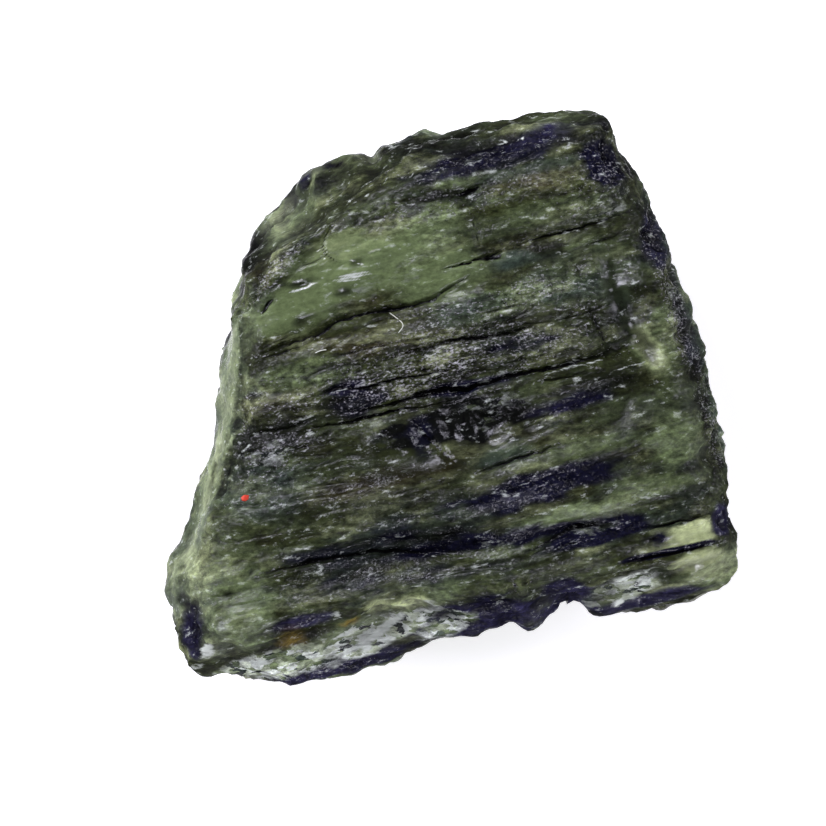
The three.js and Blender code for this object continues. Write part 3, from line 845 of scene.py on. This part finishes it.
        # The window colour is a painted glow of light through thin glass.
        for tone, paint, noise, spread, softness in (
            (Tone.UMBER, self.umber, mottles[1], 1.3, 0.45),
            (Tone.TEAL, self.teal, mottles[2], 1.3, 0.45),
            (Tone.MOSS, self.moss, mottles[0], 1.0, 0.42),
            (Tone.WINDOW, self.window_glow, mottles[1], 0.9, 0.42),
            (Tone.NIGHT, self.night, mottles[0], 1.3, 0.4),
            (Tone.INK, self.ink, mottles[2], 1.6, 0.3),
            (Tone.INDIGO, self.indigo, mottles[1], 1.5, 0.35),
            (Tone.RUST, self.rust, mottles[0], 1.0, 0.5),
        ):
            crisp = self._broken(tree, tones[tone], noise, spread, softness)
            if tone in (Tone.INDIGO, Tone.RUST):
                crisp = self._kept_in(tree, crisp, tones[tone])
            colour = self._mix(tree, crisp, colour, paint)

        # Fresh shell-shaped chips: each facet painted its own tone and light, up to a white painted
        # highlight.
        warp = add_node(
            tree,
            "ShaderNodeVectorMath",
            {"operation": "MULTIPLY_ADD", 1: (self.chip_warp_mm * MM,) * 3},
            {0: mottle.outputs["Color"], 2: place},
        )
        split_off = add_node(tree, "ShaderNodeMapping", {"Scale": (0.6, 1.0, 0.8)}, {0: warp})
        facets = add_node(
            tree, "ShaderNodeTexVoronoi", {"Scale": 1 / (self.chip_mm * MM)}, {"Vector": split_off}
        )
        facet = add_node(tree, "ShaderNodeSeparateColor", links={0: facets.outputs["Color"]}).outputs[0]
        facet_tone_and_light = add_node(tree, "ShaderNodeValToRGB", links={0: facet})
        facet_tone_and_light.color_ramp.interpolation = "LINEAR"
        bands = (
            (0.0, self.ink),
            (0.12, self.teal),
            (0.24, self.moss),
            (0.38, self.dim_lit_facet),
            (0.52, self.bright_lit_facet),
            (0.7, self.flash_highlight),
        )
        while len(facet_tone_and_light.color_ramp.elements) < len(bands):
            facet_tone_and_light.color_ramp.elements.new(0.5)
        for stop, (start, tint) in zip(facet_tone_and_light.color_ramp.elements, bands):
            stop.position = start
            stop.color = linear(tint)
        chip_share = self._broken(tree, tones[Tone.CHIP], mottles[0], 1.4, 0.3)
        chipped = add_node(
            tree,
            "ShaderNodeMix",
            {"data_type": "RGBA"},
            {0: chip_share, 6: colour, 7: facet_tone_and_light.outputs[0]},
        )
        colour = chipped.outputs[2]

        # Painted shade in the hollows, painted highlight on the ridges, and more of both in the layer lines
        # and specks.
        layers = lamina.outputs["Fac"]
        layer_tone_and_shade = add_node(tree, "ShaderNodeMapRange", {1: 0.32, 2: 0.68, 3: 0.3, 4: 1.7}, {0: layers})
        even = add_node(tree, "ShaderNodeMath", {"operation": "MULTIPLY", 1: 0.75}, {0: tones[Tone.GLOSS]})
        layer_tone_and_shade = add_node(tree, "ShaderNodeMix", {"data_type": "FLOAT", 3: 1.0}, {0: even, 2: layer_tone_and_shade})
        sunk = add_node(tree, "ShaderNodeMapRange", {3: 1.0, 4: 0.3}, {0: tones[Tone.HOLLOW_SHADE]})
        raised = add_node(tree, "ShaderNodeMapRange", {3: 1.0, 4: 1.35}, {0: tones[Tone.RIDGE_HIGHLIGHT]})
        eaten = add_node(tree, "ShaderNodeMapRange", {3: 0.45, 4: 1.0}, {0: tones[Tone.FROST]})
        polish = add_node(tree, "ShaderNodeMapRange", {3: 1.0, 4: 0.35}, {0: tones[Tone.GLOSS]})
        eaten = add_node(tree, "ShaderNodeMath", {"operation": "MULTIPLY"}, {0: eaten, 1: polish})
        # Etch specks: partly their own tone, partly painted shade in the pits and painted highlight between.
        pitting = {1: 0.36, 2: 0.64, 3: 0.1, 4: 1.9}
        speck_tone_and_shade = add_node(tree, "ShaderNodeMapRange", pitting, {0: speckle.outputs["Fac"]})
        speck_tone_and_shade = add_node(tree, "ShaderNodeMix", {"data_type": "FLOAT", 2: 1.0}, {0: eaten, 3: speck_tone_and_shade})
        shade = layer_tone_and_shade
        for factor in (sunk, raised, speck_tone_and_shade):
            shade = add_node(tree, "ShaderNodeMath", {"operation": "MULTIPLY"}, {0: shade, 1: factor})
        shaded = add_node(tree, "ShaderNodeVectorMath", {"operation": "SCALE"}, {0: colour, "Scale": shade})
        colour = shaded.outputs[0]

        # Painted pin-point glints: pale flecks, closest where the skin is most eaten away and along the crack
        # lips.
        thick = add_node(tree, "ShaderNodeMapRange", {3: -0.10, 4: 0.13}, {0: tones[Tone.FROST]})
        thinned = {0: tones[Tone.GLOSS], 2: thick}
        thick = add_node(tree, "ShaderNodeMath", {"operation": "MULTIPLY_ADD", 1: -0.1}, thinned)
        rows = add_node(tree, "ShaderNodeMath", {"operation": "MULTIPLY", 1: 0.5}, {0: layers})
        swarm = add_node(
            tree, "ShaderNodeMath", {"operation": "MULTIPLY_ADD", 1: 0.4, 2: -0.275}, {0: mottles[1]}
        )
        chance = rows
        for part in (swarm, thick, grain.outputs["Fac"]):
            chance = add_node(tree, "ShaderNodeMath", {"operation": "ADD"}, {0: chance, 1: part})
        flecks = add_node(tree, "ShaderNodeMapRange", {1: 0.80, 2: 1.05, 4: 0.5}, {0: chance})
        colour = self._mix(tree, flecks.outputs[0], colour, self.frost_and_glint)
        # Painted shade: near-black in the cracks and along the deepest layer lines.
        frayed = {"operation": "MULTIPLY_ADD", 1: 0.7, 2: -0.35}
        split = add_node(tree, "ShaderNodeMath", frayed, {0: layers})
        split = add_node(tree, "ShaderNodeMath", {"operation": "ADD"}, {0: split, 1: tones[Tone.CRACK_SHADE]})
        split = add_node(tree, "ShaderNodeMapRange", {1: 0.42, 2: 0.74}, {0: split})
        colour = self._mix(tree, split.outputs[0], colour, self.crack)
        # Painted highlights: the white flashes.
        flashes = self._broken(tree, tones[Tone.FLASH_HIGHLIGHT], layers, 2.2, 0.25)
        colour = self._mix(tree, flashes, colour, self.flash_highlight)

        rough = add_node(
            tree,
            "ShaderNodeMapRange",
            {3: self.etched_roughness, 4: self.glassy_roughness},
            {0: tones[Tone.GLOSS]},
        )
        # Light comes through the windows and, less, the moss; ink and night layers let none through.
        mossy = {"operation": "MULTIPLY_ADD", 1: 0.3, 2: 0.04}
        clear = add_node(tree, "ShaderNodeMath", mossy, {0: tones[Tone.MOSS]})
        lit = {0: tones[Tone.WINDOW], 2: clear}
        clear = add_node(tree, "ShaderNodeMath", {"operation": "MULTIPLY_ADD", 1: 0.5}, lit)
        shut = {0: tones[Tone.INK], 1: tones[Tone.NIGHT]}
        dark = add_node(tree, "ShaderNodeMath", {"operation": "MAXIMUM"}, shut)
        let_in = add_node(tree, "ShaderNodeMapRange", {3: 1.0, 4: 0.0}, {0: dark})
        see_through = add_node(tree, "ShaderNodeMath", {"operation": "MULTIPLY"}, {0: clear, 1: let_in})
        dull = add_node(tree, "ShaderNodeMapRange", {3: 1.0, 4: 0.25}, {0: tones[Tone.GLOSS]})
        under = {}
        for height_mm, height, strength in (
            (self.chip_bump_mm, facets.outputs["Distance"], tones[Tone.CHIP]),
            (self.grain_bump_mm, grain.outputs["Fac"], dull),
            (self.speckle_bump_mm, speckle.outputs["Fac"], eaten),
            (self.lamina_bump_mm, layers, dull),
        ):
            heights = {"Height": height, "Strength": strength, **under}
            bump = add_node(tree, "ShaderNodeBump", {"Distance": height_mm * MM}, heights)
            under = {"Normal": bump}
        # The etched skin shines in points, the glassy places evenly.
        pricked = {1: 0.45, 2: 0.66, 3: 0.12, 4: 1.5}
        glints = add_node(tree, "ShaderNodeMapRange", pricked, {0: grain.outputs["Fac"]})
        calm = add_node(tree, "ShaderNodeMath", {"operation": "MULTIPLY", 1: 0.8}, {0: tones[Tone.GLOSS]})
        glints = add_node(tree, "ShaderNodeMix", {"data_type": "FLOAT", 3: 0.8}, {0: calm, 2: glints})
        skin = add_node(tree, "ShaderNodeMath", {"operation": "MULTIPLY"}, {0: glints, 1: tones[Tone.SKIN]})
        shader = add_node(
            tree,
            "ShaderNodeBsdfPrincipled",
            {
                "IOR": self.ior,
                "Specular IOR Level": self.shine,
                "Coat IOR": self.ior,
                "Coat Roughness": self.skin_roughness,
            },
            {
                "Base Color": colour,
                "Roughness": rough.outputs[0],
                "Transmission Weight": see_through.outputs[0],
                "Normal": bump,
                "Coat Weight": skin,
                "Coat Normal": bump,
            },
        )
        inside = add_node(
            tree, "ShaderNodeVolumeAbsorption", {"Color": linear(self.depths), "Density": self.absorption}
        )
        add_node(tree, "ShaderNodeOutputMaterial", links={"Surface": shader, "Volume": inside})
        return material


# How much of each tone the unseen sides have, in layers that noise places along the flow.
LAYER_SHARES: dict[Tone, float] = {
    Tone.MOSS: 0.5,
    Tone.INK: 0.65,
    Tone.WINDOW: 0.2,
    Tone.UMBER: 0.4,
    Tone.TEAL: 0.5,
    Tone.FROST: 0.45,
    Tone.GLOSS: 0.6,
    Tone.NIGHT: 0.75,
    Tone.CHIP: 0.15,
    Tone.INDIGO: 0.15,
}


@dataclass
class Stone:
    """The lump: a fine copy of the plain solid with its cracks, ledges, grain and tones."""

    node: str = "moldavite"
    name: str = "moldavite_stone"
    subdivisions: int = 2
    layer_lean: float = 0.35
    ridge_height: float = 0.11
    # Each ridge has a width in millimetres and a strength, each wobble of the cracks a reach and a size.
    ridge_sizes: tuple[tuple[float, float], ...] = ((1.1, 1.0), (0.5, 0.8), (0.26, 0.5))
    wobbles: tuple[tuple[float, float], ...] = ((0.07, 0.5), (0.03, 0.17))
    grain_height: float = 0.03
    crumple_height: float = 0.12
    furrow_depth: float = 0.16
    nick_height: float = 0.14
    nick_width: float = 0.75
    pit_depth: float = 0.65
    pit_width: float = 1.5
    small_pit_width: float = 0.6
    chip_depth: float = 0.26
    chip_width: float = 1.9
    face_slope: float = 0.5
    glass: MoldaviteGlass = MoldaviteGlass()

    def build(self) -> bpy.types.Object:
        """Builds, weathers, paints and dresses the lump.

        Returns:
            The lump's object, riding on the body and standing for the plain solid.
        """
        stone = self._fine_copy()
        relief, cracked = self._weather(stone.data)
        self._paint(stone.data, relief, cracked)
        stone.data.materials.append(self.glass.make())
        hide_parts(self.node)
        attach(stone, BODY)
        return stone

    def _fine_copy(self) -> bpy.types.Object:
        """Merges, squares up and subdivides a copy of the plain solid.

        Returns:
            The copy as an object of its own.
        """
        rough = bpy.data.meshes.new(self.name + "_rough")
        form = bmesh.new()
        form.from_mesh(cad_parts[self.node].data)
        bmesh.ops.remove_doubles(form, verts=form.verts, dist=0.001 * MM)
        bmesh.ops.join_triangles(
            form, faces=form.faces, angle_face_threshold=math.pi, angle_shape_threshold=math.pi
        )
        form.to_mesh(rough)
        form.free()
        carrier = put_in_scene(self.name + "_carrier", rough)
        carrier.modifiers.new("fine", "SUBSURF").levels = self.subdivisions
        carrier.modifiers["fine"].render_levels = self.subdivisions
        depsgraph = bpy.context.evaluated_depsgraph_get()
        fine = bpy.data.meshes.new_from_object(carrier.evaluated_get(depsgraph))
        bpy.data.objects.remove(carrier)
        fine.name = self.name
        fine.materials.clear()
        self._split_face(fine)
        stone = put_in_scene(self.name, fine)
        fine.shade_smooth()
        return stone

    def _split_face(self, mesh: bpy.types.Mesh) -> None:
        """Halves the rows of the broad face, where the cracks are, and makes the flat rest plain.

        Args:
            mesh: The lump's fine mesh.
        """
        form = bmesh.new()
        form.from_mesh(mesh)
        form.normal_update()
        rest = [face for face in form.faces if max(vert.co.z for vert in face.verts) < 0.002 * MM]
        dissolved = bmesh.ops.dissolve_faces(form, faces=rest)["region"]
        bmesh.ops.triangulate(form, faces=dissolved)
        rungs = [
            edge
            for edge in form.edges
            if min(vert.normal.z for vert in edge.verts) > self.face_slope
            and abs(edge.verts[0].co.y - edge.verts[1].co.y) > abs(edge.verts[0].co.x - edge.verts[1].co.x)
        ]
        bmesh.ops.subdivide_edges(form, edges=rungs, cuts=1, use_grid_fill=True)
        form.to_mesh(mesh)
        form.free()

    def _points(self, mesh: bpy.types.Mesh) -> tuple[np.ndarray, np.ndarray]:
        """Reads a mesh's points and normals.

        Args:
            mesh: Any mesh.

        Returns:
            Its points in millimetres and its unit normals.
        """
        points = np.empty(len(mesh.vertices) * 3, np.float32)
        mesh.vertices.foreach_get("co", points)
        normals = np.empty(len(mesh.vertices) * 3, np.float32)
        mesh.vertex_normals.foreach_get("vector", normals)
        return points.reshape(-1, 3).astype(float) / MM, normals.reshape(-1, 3).astype(float)

    def _along_layers(self, points: np.ndarray) -> np.ndarray:
        """Turns points to lie along the layers of the flow.

        Args:
            points: Rows of three coordinates in millimetres.

        Returns:
            Rows whose first axis runs along the flow and whose second runs across the layers.
        """
        lean = self.layer_lean
        across = points @ (0, math.cos(lean), math.sin(lean))
        down = points @ (0, -math.sin(lean), math.cos(lean))
        return np.stack([points[:, 0], across, down], axis=1)

    def _weather(self, mesh: bpy.types.Mesh) -> tuple[np.ndarray, np.ndarray]:
        """Moves the mesh's points to cut its fine ridges, cracks and chips.

        Args:
            mesh: The lump's fine mesh.

        Returns:
            How far each point was raised, in millimetres, and how much it lies in a crack.
        """
        points, normals = self._points(mesh)
        flow = self._along_layers(points)
        on_face = smooth_step(normals[:, 2], 0.45, 0.8)
        rough = self._tone(Tone.FROST, points, on_face)
        smooth = self._tone(Tone.GLOSS, points, on_face)
        dull = np.clip(0.45 + 0.75 * rough - 0.9 * smooth, 0.04, 1.2)

        ridges = GradientNoise(11)
        height = np.zeros(len(points))
        for width, strength in self.ridge_sizes:
            stretched = flow / (width * 3.4, width, width * 2.6)
            height += strength * self.ridge_height * ridges(stretched + width)
        furrow = 1 - smooth_step(np.abs(ridges(flow / (4.6, 0.85, 3.5) + 31)), 0, 0.14)
        here = smooth_step(ridges(flow / (2.6, 1.6, 2.6) + 57), -0.1, 0.35)
        height -= self.furrow_depth * furrow * here
        height += self.grain_height * GradientNoise(12).fractal(points / 0.42, 2)
        crumple = np.abs(GradientNoise(15).fractal(flow / (0.55, 0.34, 0.5), 2))
        height += self.crumple_height * (0.35 - crumple) * rough
        height *= dull
        relief = height.copy()

        rim = smooth_step(normals[:, 2], 0.25, 0.5) * smooth_step(normals[:, 2], 0.95, 0.75)
        strayed = points + 0.4 * GradientNoise(14).fractal(points / 0.7, 2)[:, None]
        nicks = cell_scoops(strayed, self.nick_width, 6)
        height += self.nick_height * (nicks - 0.35) * rim

        chips = cell_scoops(points, self.chip_width, 5)
        south_edge = smooth_step(points[:, 1], -9.0, -10.2) * smooth_step(points[:, 2], 3, 6)
        lower = smooth_step(points[:, 2], 8.5, 5.5) * (1 - south_edge)
        height += self.chip_depth * (chips - 0.4) * np.clip(south_edge + 0.35 * lower, 0, 1)

        wobble = GradientNoise(13)
        plan = points[:, :2].copy()
        for reach, size in self.wobbles:
            plan += reach * np.stack([wobble(points / size), wobble(points / size + 9)], axis=1)
        for mound in FACE_MOUNDS:
            rise = mound.rise(plan) * on_face
            height += rise
            relief += rise
        cracked = np.zeros(len(points))
        for cut in FACE_CUTS:
            close = cut.closeness(plan) * on_face
            height -= cut.depth * close
            cracked = np.maximum(cracked, cut.blackness * close)

        # Etch pits of the flanks: wide ones, and small ones half as strong.
        pits = cell_scoops(flow / (1.7, 1.0, 1.2), self.pit_width, 8)
        pits = pits + 0.5 * cell_scoops(flow / (1.4, 1.0, 1.0), self.small_pit_width, 9)
        off_face = (1 - on_face) * (1 - 0.75 * self._left_glow(points, normals))
        belt = 0.5 + 0.5 * smooth_step(np.abs(normals[:, 2]), 0.08, 0.3)
        height += self.pit_depth * (pits - 0.6) * off_face * belt
        relief += 0.35 * (pits - 0.62) * off_face

        for growth in OUTLINE_GROWTHS:
            points[:, :2] += normals[:, :2] * growth.pull(points)[:, None]
        resting = smooth_step(points[:, 2], 0.02, 0.6)
        points += normals * (height * resting)[:, None]
        points[:, 2] = np.maximum(points[:, 2], 0)
        mesh.vertices.foreach_set("co", (points * MM).astype(np.float32).ravel())
        mesh.update()
        return relief, cracked

    def _tone(self, tone: Tone, points: np.ndarray, on_face: np.ndarray) -> np.ndarray:
        """Gives a tone's share at each point, from the face's patches and, elsewhere, from the flow layers.

        Args:
            tone: The tone.
            points: Rows of three coordinates in millimetres.
            on_face: How much each point belongs to the broad face and what is seen beside it.

        Returns:
            One share for each point, from 0 to 1.
        """
        flow = self._along_layers(points)
        wander = GradientNoise(21).fractal(flow / (1.8, 0.7, 1.4), 3)
        face = np.zeros(len(points))
        for patch in FACE_PATCHES[tone]:
            face = np.maximum(face, patch.cover(points[:, :2], wander))
        seed = 40 + list(Tone).index(tone)
        layers = GradientNoise(seed).fractal(flow / (6.0, 1.5, 4.0), 3)
        elsewhere = LAYER_SHARES.get(tone, 0.0) * smooth_step(layers, -0.05, 0.45)
        seen_above = np.maximum(on_face, smooth_step(points[:, 2], 5.0, 7.5))
        return np.clip(face * seen_above + elsewhere * (1 - 0.75 * seen_above), 0, 1)

    def _left_glow(self, points: np.ndarray, normals: np.ndarray) -> np.ndarray:
        """Gives how much each point belongs to the smooth pale flank on the left.

        Args:
            points: Rows of three coordinates in millimetres.
            normals: The unit normals there.

        Returns:
            One share for each point, from 0 to 1.
        """
        ragged = points[:, :2] + 0.5 * GradientNoise(22).fractal(points / 1.6, 3)[:, None]
        steep = 1 - smooth_step(normals[:, 2], 0.35, 0.7)
        return LEFT_FLANK.cover(ragged) * smooth_step(points[:, 2], 4.0, 7.0) * steep

    def _paint(self, mesh: bpy.types.Mesh, relief: np.ndarray, cracked: np.ndarray) -> None:
        """Writes each tone to the mesh as an attribute.

        Args:
            mesh: The weathered mesh.
            relief: How far each point was raised, in millimetres.
            cracked: How much each point lies in a crack.
        """
        points, normals = self._points(mesh)
        on_face = smooth_step(normals[:, 2], 0.2, 0.6)
        shares = {tone: self._tone(tone, points, on_face) for tone in FACE_PATCHES}
        # The smooth left flank is paler: more moss, teal and gloss, a little painted window glow, less of the
        # dark tones.
        glow = self._left_glow(points, normals)
        for tone in (Tone.NIGHT, Tone.INK, Tone.FROST, Tone.UMBER):
            shares[tone] *= 1 - 0.8 * glow
        for tone, least in ((Tone.MOSS, 0.5), (Tone.WINDOW, 0.1), (Tone.GLOSS, 0.8), (Tone.TEAL, 0.6)):
            shares[tone] = np.maximum(shares[tone], least * glow)
        edge = LEFT_EDGE.cover(points[:, :2]) * smooth_step(normals[:, 2], 0.15, 0.4)
        shares[Tone.NIGHT] = np.maximum(shares[Tone.NIGHT], 0.6 * edge)
        # Painted shade in the cracks.
        shares[Tone.CRACK_SHADE] = cracked
        glassy = smooth_step(normals[:, 2], 0.5, 0.85) + smooth_step(normals[:, 2], 0.2, 0)
        upright = smooth_step(normals[:, 2], 0.2, 0)
        shares[Tone.SKIN] = np.clip(0.03 + 0.5 * glassy + 0.4 * upright + 0.4 * shares[Tone.CHIP], 0, 1)
        shares[Tone.GLOSS] = np.maximum(shares[Tone.GLOSS], 0.7 * upright)
        shares[Tone.FROST] *= 1 - 0.5 * upright
        # Painted glints crowd along the lips of the cracks.
        lip_glints = np.exp(-(((cracked - 0.22) / 0.14) ** 2))
        shares[Tone.FROST] = np.maximum(shares[Tone.FROST], lip_glints)
        # Painted shade in the hollows and painted highlight on the ridges, from the relief.
        shares[Tone.HOLLOW_SHADE] = smooth_step(-relief, 0.02, 0.16)
        shares[Tone.RIDGE_HIGHLIGHT] = smooth_step(relief, 0.01, 0.07)
        for tone, share in shares.items():
            layer = mesh.attributes.new(tone.value, "FLOAT", "POINT")
            layer.data.foreach_set("value", share.astype(np.float32))


@dataclass(frozen=True)
class RedClay:
    """A grain of fired-looking red clay stuck in an etch pit: matt, bright orange-red."""

    name: str = "red_clay"
    colour: str = "#d8401e"
    shade: str = "#b02a14"
    crumb_mm: float = 0.1
    roughness: float = 0.6

    def make(self) -> bpy.types.Material:
        """Builds the material, its tone varied from crumb to crumb.

        Returns:
            A matt material that reads Object coordinates.
        """
        material = bpy.data.materials.new(self.name)
        material.use_nodes = True
        tree = material.node_tree
        shader = tree.nodes["Principled BSDF"]
        place = add_node(tree, "ShaderNodeTexCoord").outputs["Object"]
        noise = add_node(tree, "ShaderNodeTexNoise", {"Scale": 1 / (self.crumb_mm * MM)}, {"Vector": place})
        mix = add_node(tree, "ShaderNodeMix", {"data_type": "RGBA"}, {0: noise.outputs["Fac"]})
        mix.inputs[6].default_value = linear(self.shade)
        mix.inputs[7].default_value = linear(self.colour)
        tree.links.new(mix.outputs[2], shader.inputs["Base Color"])
        shader.inputs["Roughness"].default_value = self.roughness
        return material


@dataclass(frozen=True)
class CottonDust:
    """A dust fibre from a cloth: pale, matt and hair-thin."""

    name: str = "cotton_dust"
    colour: str = "#cfd3c4"
    roughness: float = 0.8

    def make(self) -> bpy.types.Material:
        """Builds the material.

        Returns:
            A matt material of one colour.
        """
        material = bpy.data.materials.new(self.name)
        material.use_nodes = True
        shader = material.node_tree.nodes["Principled BSDF"]
        shader.inputs["Base Color"].default_value = linear(self.colour)
        shader.inputs["Roughness"].default_value = self.roughness
        return material


@dataclass
class Dirt:
    """What lies on the broad face: a red grain at the left, and dust fibres by the long crack."""

    stone: bpy.types.Object
    speck_place: tuple[float, float] = (-8.5, -2.8)
    speck_size: tuple[float, float, float] = (0.19, 0.15, 0.09)
    speck_lift: float = 0.02
    speck_lumps: float = 0.35
    fibre_radius: float = 0.018
    fibre_lift: float = 0.03
    drop_height: float = 30.0
    fibres: tuple[tuple[tuple[float, float], ...], ...] = (
        ((-0.5, 3.92), (-0.25, 3.65), (0.0, 3.32), (-0.1, 3.12), (-0.3, 2.98)),
        ((-4.1, 2.86), (-3.85, 2.95), (-3.6, 2.9)),
    )

    def build(self) -> list[bpy.types.Object]:
        """Builds the grain and the fibres, lying on the stone.

        Returns:
            The pieces, riding on the body.
        """
        pieces = [self._speck()]
        dust = CottonDust().make()
        for number, line in enumerate(self.fibres, 1):
            pieces.append(self._fibre(f"dust_fibre_{number}", line, dust))
        for piece in pieces:
            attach(piece, BODY)
        return pieces

    def _on_stone(self, x: float, y: float, above: float) -> Vector:
        """Finds a place on the stone's face.

        Args:
            x: The place in plan, in millimetres.
            y: The same across.
            above: How far above the face, in millimetres.

        Returns:
            The point, in metres.
        """
        start = Vector((x, y, self.drop_height)) * MM
        hit, place, _, _ = self.stone.ray_cast(start, (0, 0, -1))
        return place + Vector((0, 0, above * MM))

    def _speck(self) -> bpy.types.Object:
        """Makes the red grain, a lumpy pebble sunk a little into the face.

        Returns:
            The grain as a mesh object.
        """
        form = bmesh.new()
        bmesh.ops.create_icosphere(form, subdivisions=3, radius=1)
        lumps = GradientNoise(71)
        points = np.array([vert.co[:] for vert in form.verts])
        swollen = points * (1 + self.speck_lumps * lumps(points * 1.3))[:, None]
        middle = self._on_stone(*self.speck_place, self.speck_lift)
        for vert, point in zip(form.verts, swollen):
            vert.co = middle + Vector(point * self.speck_size) * MM
        mesh = bpy.data.meshes.new("red_clay_grain")
        form.to_mesh(mesh)
        form.free()
        mesh.shade_smooth()
        mesh.materials.append(RedClay().make())
        return put_in_scene("red_clay_grain", mesh)

    def _fibre(
        self, name: str, line: tuple[tuple[float, float], ...], dust: bpy.types.Material
    ) -> bpy.types.Object:
        """Makes one fibre as a thin tube along a line.

        Args:
            name: The piece's name.
            line: Places in plan, in millimetres.
            dust: The fibre's material.

        Returns:
            The fibre as a mesh object.
        """
        curve = bpy.data.curves.new(name + "_line", "CURVE")
        curve.dimensions = "3D"
        curve.bevel_depth = self.fibre_radius * MM
        curve.bevel_resolution = 2
        curve.use_fill_caps = True
        spline = curve.splines.new("NURBS")
        spline.points.add(len(line) - 1)
        spline.order_u = 3
        spline.use_endpoint_u = True
        for point, (x, y) in zip(spline.points, line):
            point.co = (*self._on_stone(x, y, self.fibre_lift), 1)
        carrier = bpy.data.objects.new(name + "_carrier", curve)
        mesh = bpy.data.meshes.new_from_object(carrier)
        bpy.data.objects.remove(carrier)
        mesh.name = name
        mesh.shade_smooth()
        mesh.materials.clear()
        mesh.materials.append(dust)
        return put_in_scene(name, mesh)


@dataclass
class Studio:
    """A pale floor, soft boxes round the stone and a long lens looking straight down at it."""

    floor_size: float = 3000.0
    floor_colour: str = "#f4f4f2"
    floor_roughness: float = 0.9
    sensor_width: float = 36.0
    clip_metres: tuple[float, float] = (0.01, 10.0)
    view_width: float = 36.93
    view_distance: float = 450.0
    focus_height: float = 8.5
    aim: tuple[float, float] = (-0.414, -0.649)
    roll: float = -12.0
    zenith: float = 0.05
    halfway: float = 0.14
    skyline: float = 0.6
    floor_glow: float = 0.6
    lamp_colour: str = "#efedff"
    # Each soft box: its name, place and side in millimetres, and power in watts.
    soft_boxes: tuple[tuple[str, tuple[float, float, float], float, float], ...] = (
        ("key", (-130, 310, 330), 120, 2.3),
        ("left", (-400, 60, 240), 110, 1.1),
        ("right", (420, 20, 260), 110, 0.9),
        ("front", (60, -420, 200), 70, 0.9),
    )

    def build(self) -> None:
        """Builds the floor, the lights, the sky and the camera."""
        self._floor()
        self._sky()
        for name, place, size, watts in self.soft_boxes:
            self._soft_box(name, place, size, watts)
        self._camera()
        bpy.context.scene.view_settings.view_transform = "Standard"

    def _floor(self) -> None:
        """Lays a plain matt floor at the height the stone rests on."""
        form = bmesh.new()
        bmesh.ops.create_grid(form, x_segments=1, y_segments=1, size=self.floor_size / 2 * MM)
        mesh = bpy.data.meshes.new("floor")
        form.to_mesh(mesh)
        form.free()
        floor = put_in_scene("floor", mesh)
        material = bpy.data.materials.new("matt_white_paper")
        material.use_nodes = True
        shader = material.node_tree.nodes["Principled BSDF"]
        shader.inputs["Base Color"].default_value = linear(self.floor_colour)
        shader.inputs["Roughness"].default_value = self.floor_roughness
        shader.inputs["Specular IOR Level"].default_value = 0.0
        shader.inputs["Emission Color"].default_value = (1, 1, 1, 1)
        shader.inputs["Emission Strength"].default_value = self.floor_glow
        mesh.materials.append(material)

    def _sky(self) -> None:
        """Surrounds the set with soft light that is dim overhead, where the camera hangs."""
        world = bpy.data.worlds.new("studio")
        bpy.context.scene.world = world
        world.use_nodes = True
        tree = world.node_tree
        tree.nodes.clear()
        place = add_node(tree, "ShaderNodeTexCoord").outputs["Generated"]
        height = add_node(tree, "ShaderNodeSeparateXYZ", links={0: place}).outputs["Z"]
        strength = add_node(tree, "ShaderNodeValToRGB", links={0: height})
        levels = ((0.1, self.skyline), (0.4, self.halfway), (1.0, self.zenith))
        strength.color_ramp.elements.new(0.5)
        for stop, (place_up, level) in zip(strength.color_ramp.elements, levels):
            stop.position = place_up
            stop.color = (level, level, level, 1)
        light = add_node(tree, "ShaderNodeBackground", {"Strength": 1.0}, {"Color": strength})
        add_node(tree, "ShaderNodeOutputWorld", links={"Surface": light})

    def _soft_box(self, name: str, place: tuple[float, float, float], size: float, watts: float) -> None:
        """Hangs one square soft box that points at the stone.

        Args:
            name: What the light is called.
            place: Where it hangs, in millimetres.
            size: Its side in millimetres.
            watts: Its power.
        """
        lamp = bpy.data.lights.new(name, "AREA")
        lamp.shape = "SQUARE"
        lamp.size = size * MM
        lamp.energy = watts
        lamp.color = linear(self.lamp_colour)[:3]
        box = put_in_scene(name, lamp)
        box.location = Vector(place) * MM
        box.rotation_euler = (-box.location).to_track_quat("-Z", "Y").to_euler()

    def _camera(self) -> None:
        """Hangs the camera straight above the stone, turned as the photographer held it."""
        lens = bpy.data.cameras.new("camera")
        lens.sensor_width = self.sensor_width
        lens.lens = lens.sensor_width * self.view_distance / self.view_width
        lens.clip_start, lens.clip_end = self.clip_metres
        camera = put_in_scene("camera", lens)
        camera.location = Vector((*self.aim, self.focus_height + self.view_distance)) * MM
        camera.rotation_euler = (0, 0, math.radians(self.roll))
        bpy.context.scene.camera = camera


def main() -> None:
    """Builds the studio and the stone."""
    logging.basicConfig(level=logging.INFO, format="%(name)s: %(message)s")
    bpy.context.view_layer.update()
    Studio().build()
    LOG.info("studio ready")
    stone = Stone().build()
    LOG.info("%s: %d points, %d faces", stone.name, len(stone.data.vertices), len(stone.data.polygons))
    for piece in Dirt(stone).build():
        LOG.info("%s: %d faces", piece.name, len(piece.data.polygons))


if __name__ == "__main__":
    main()
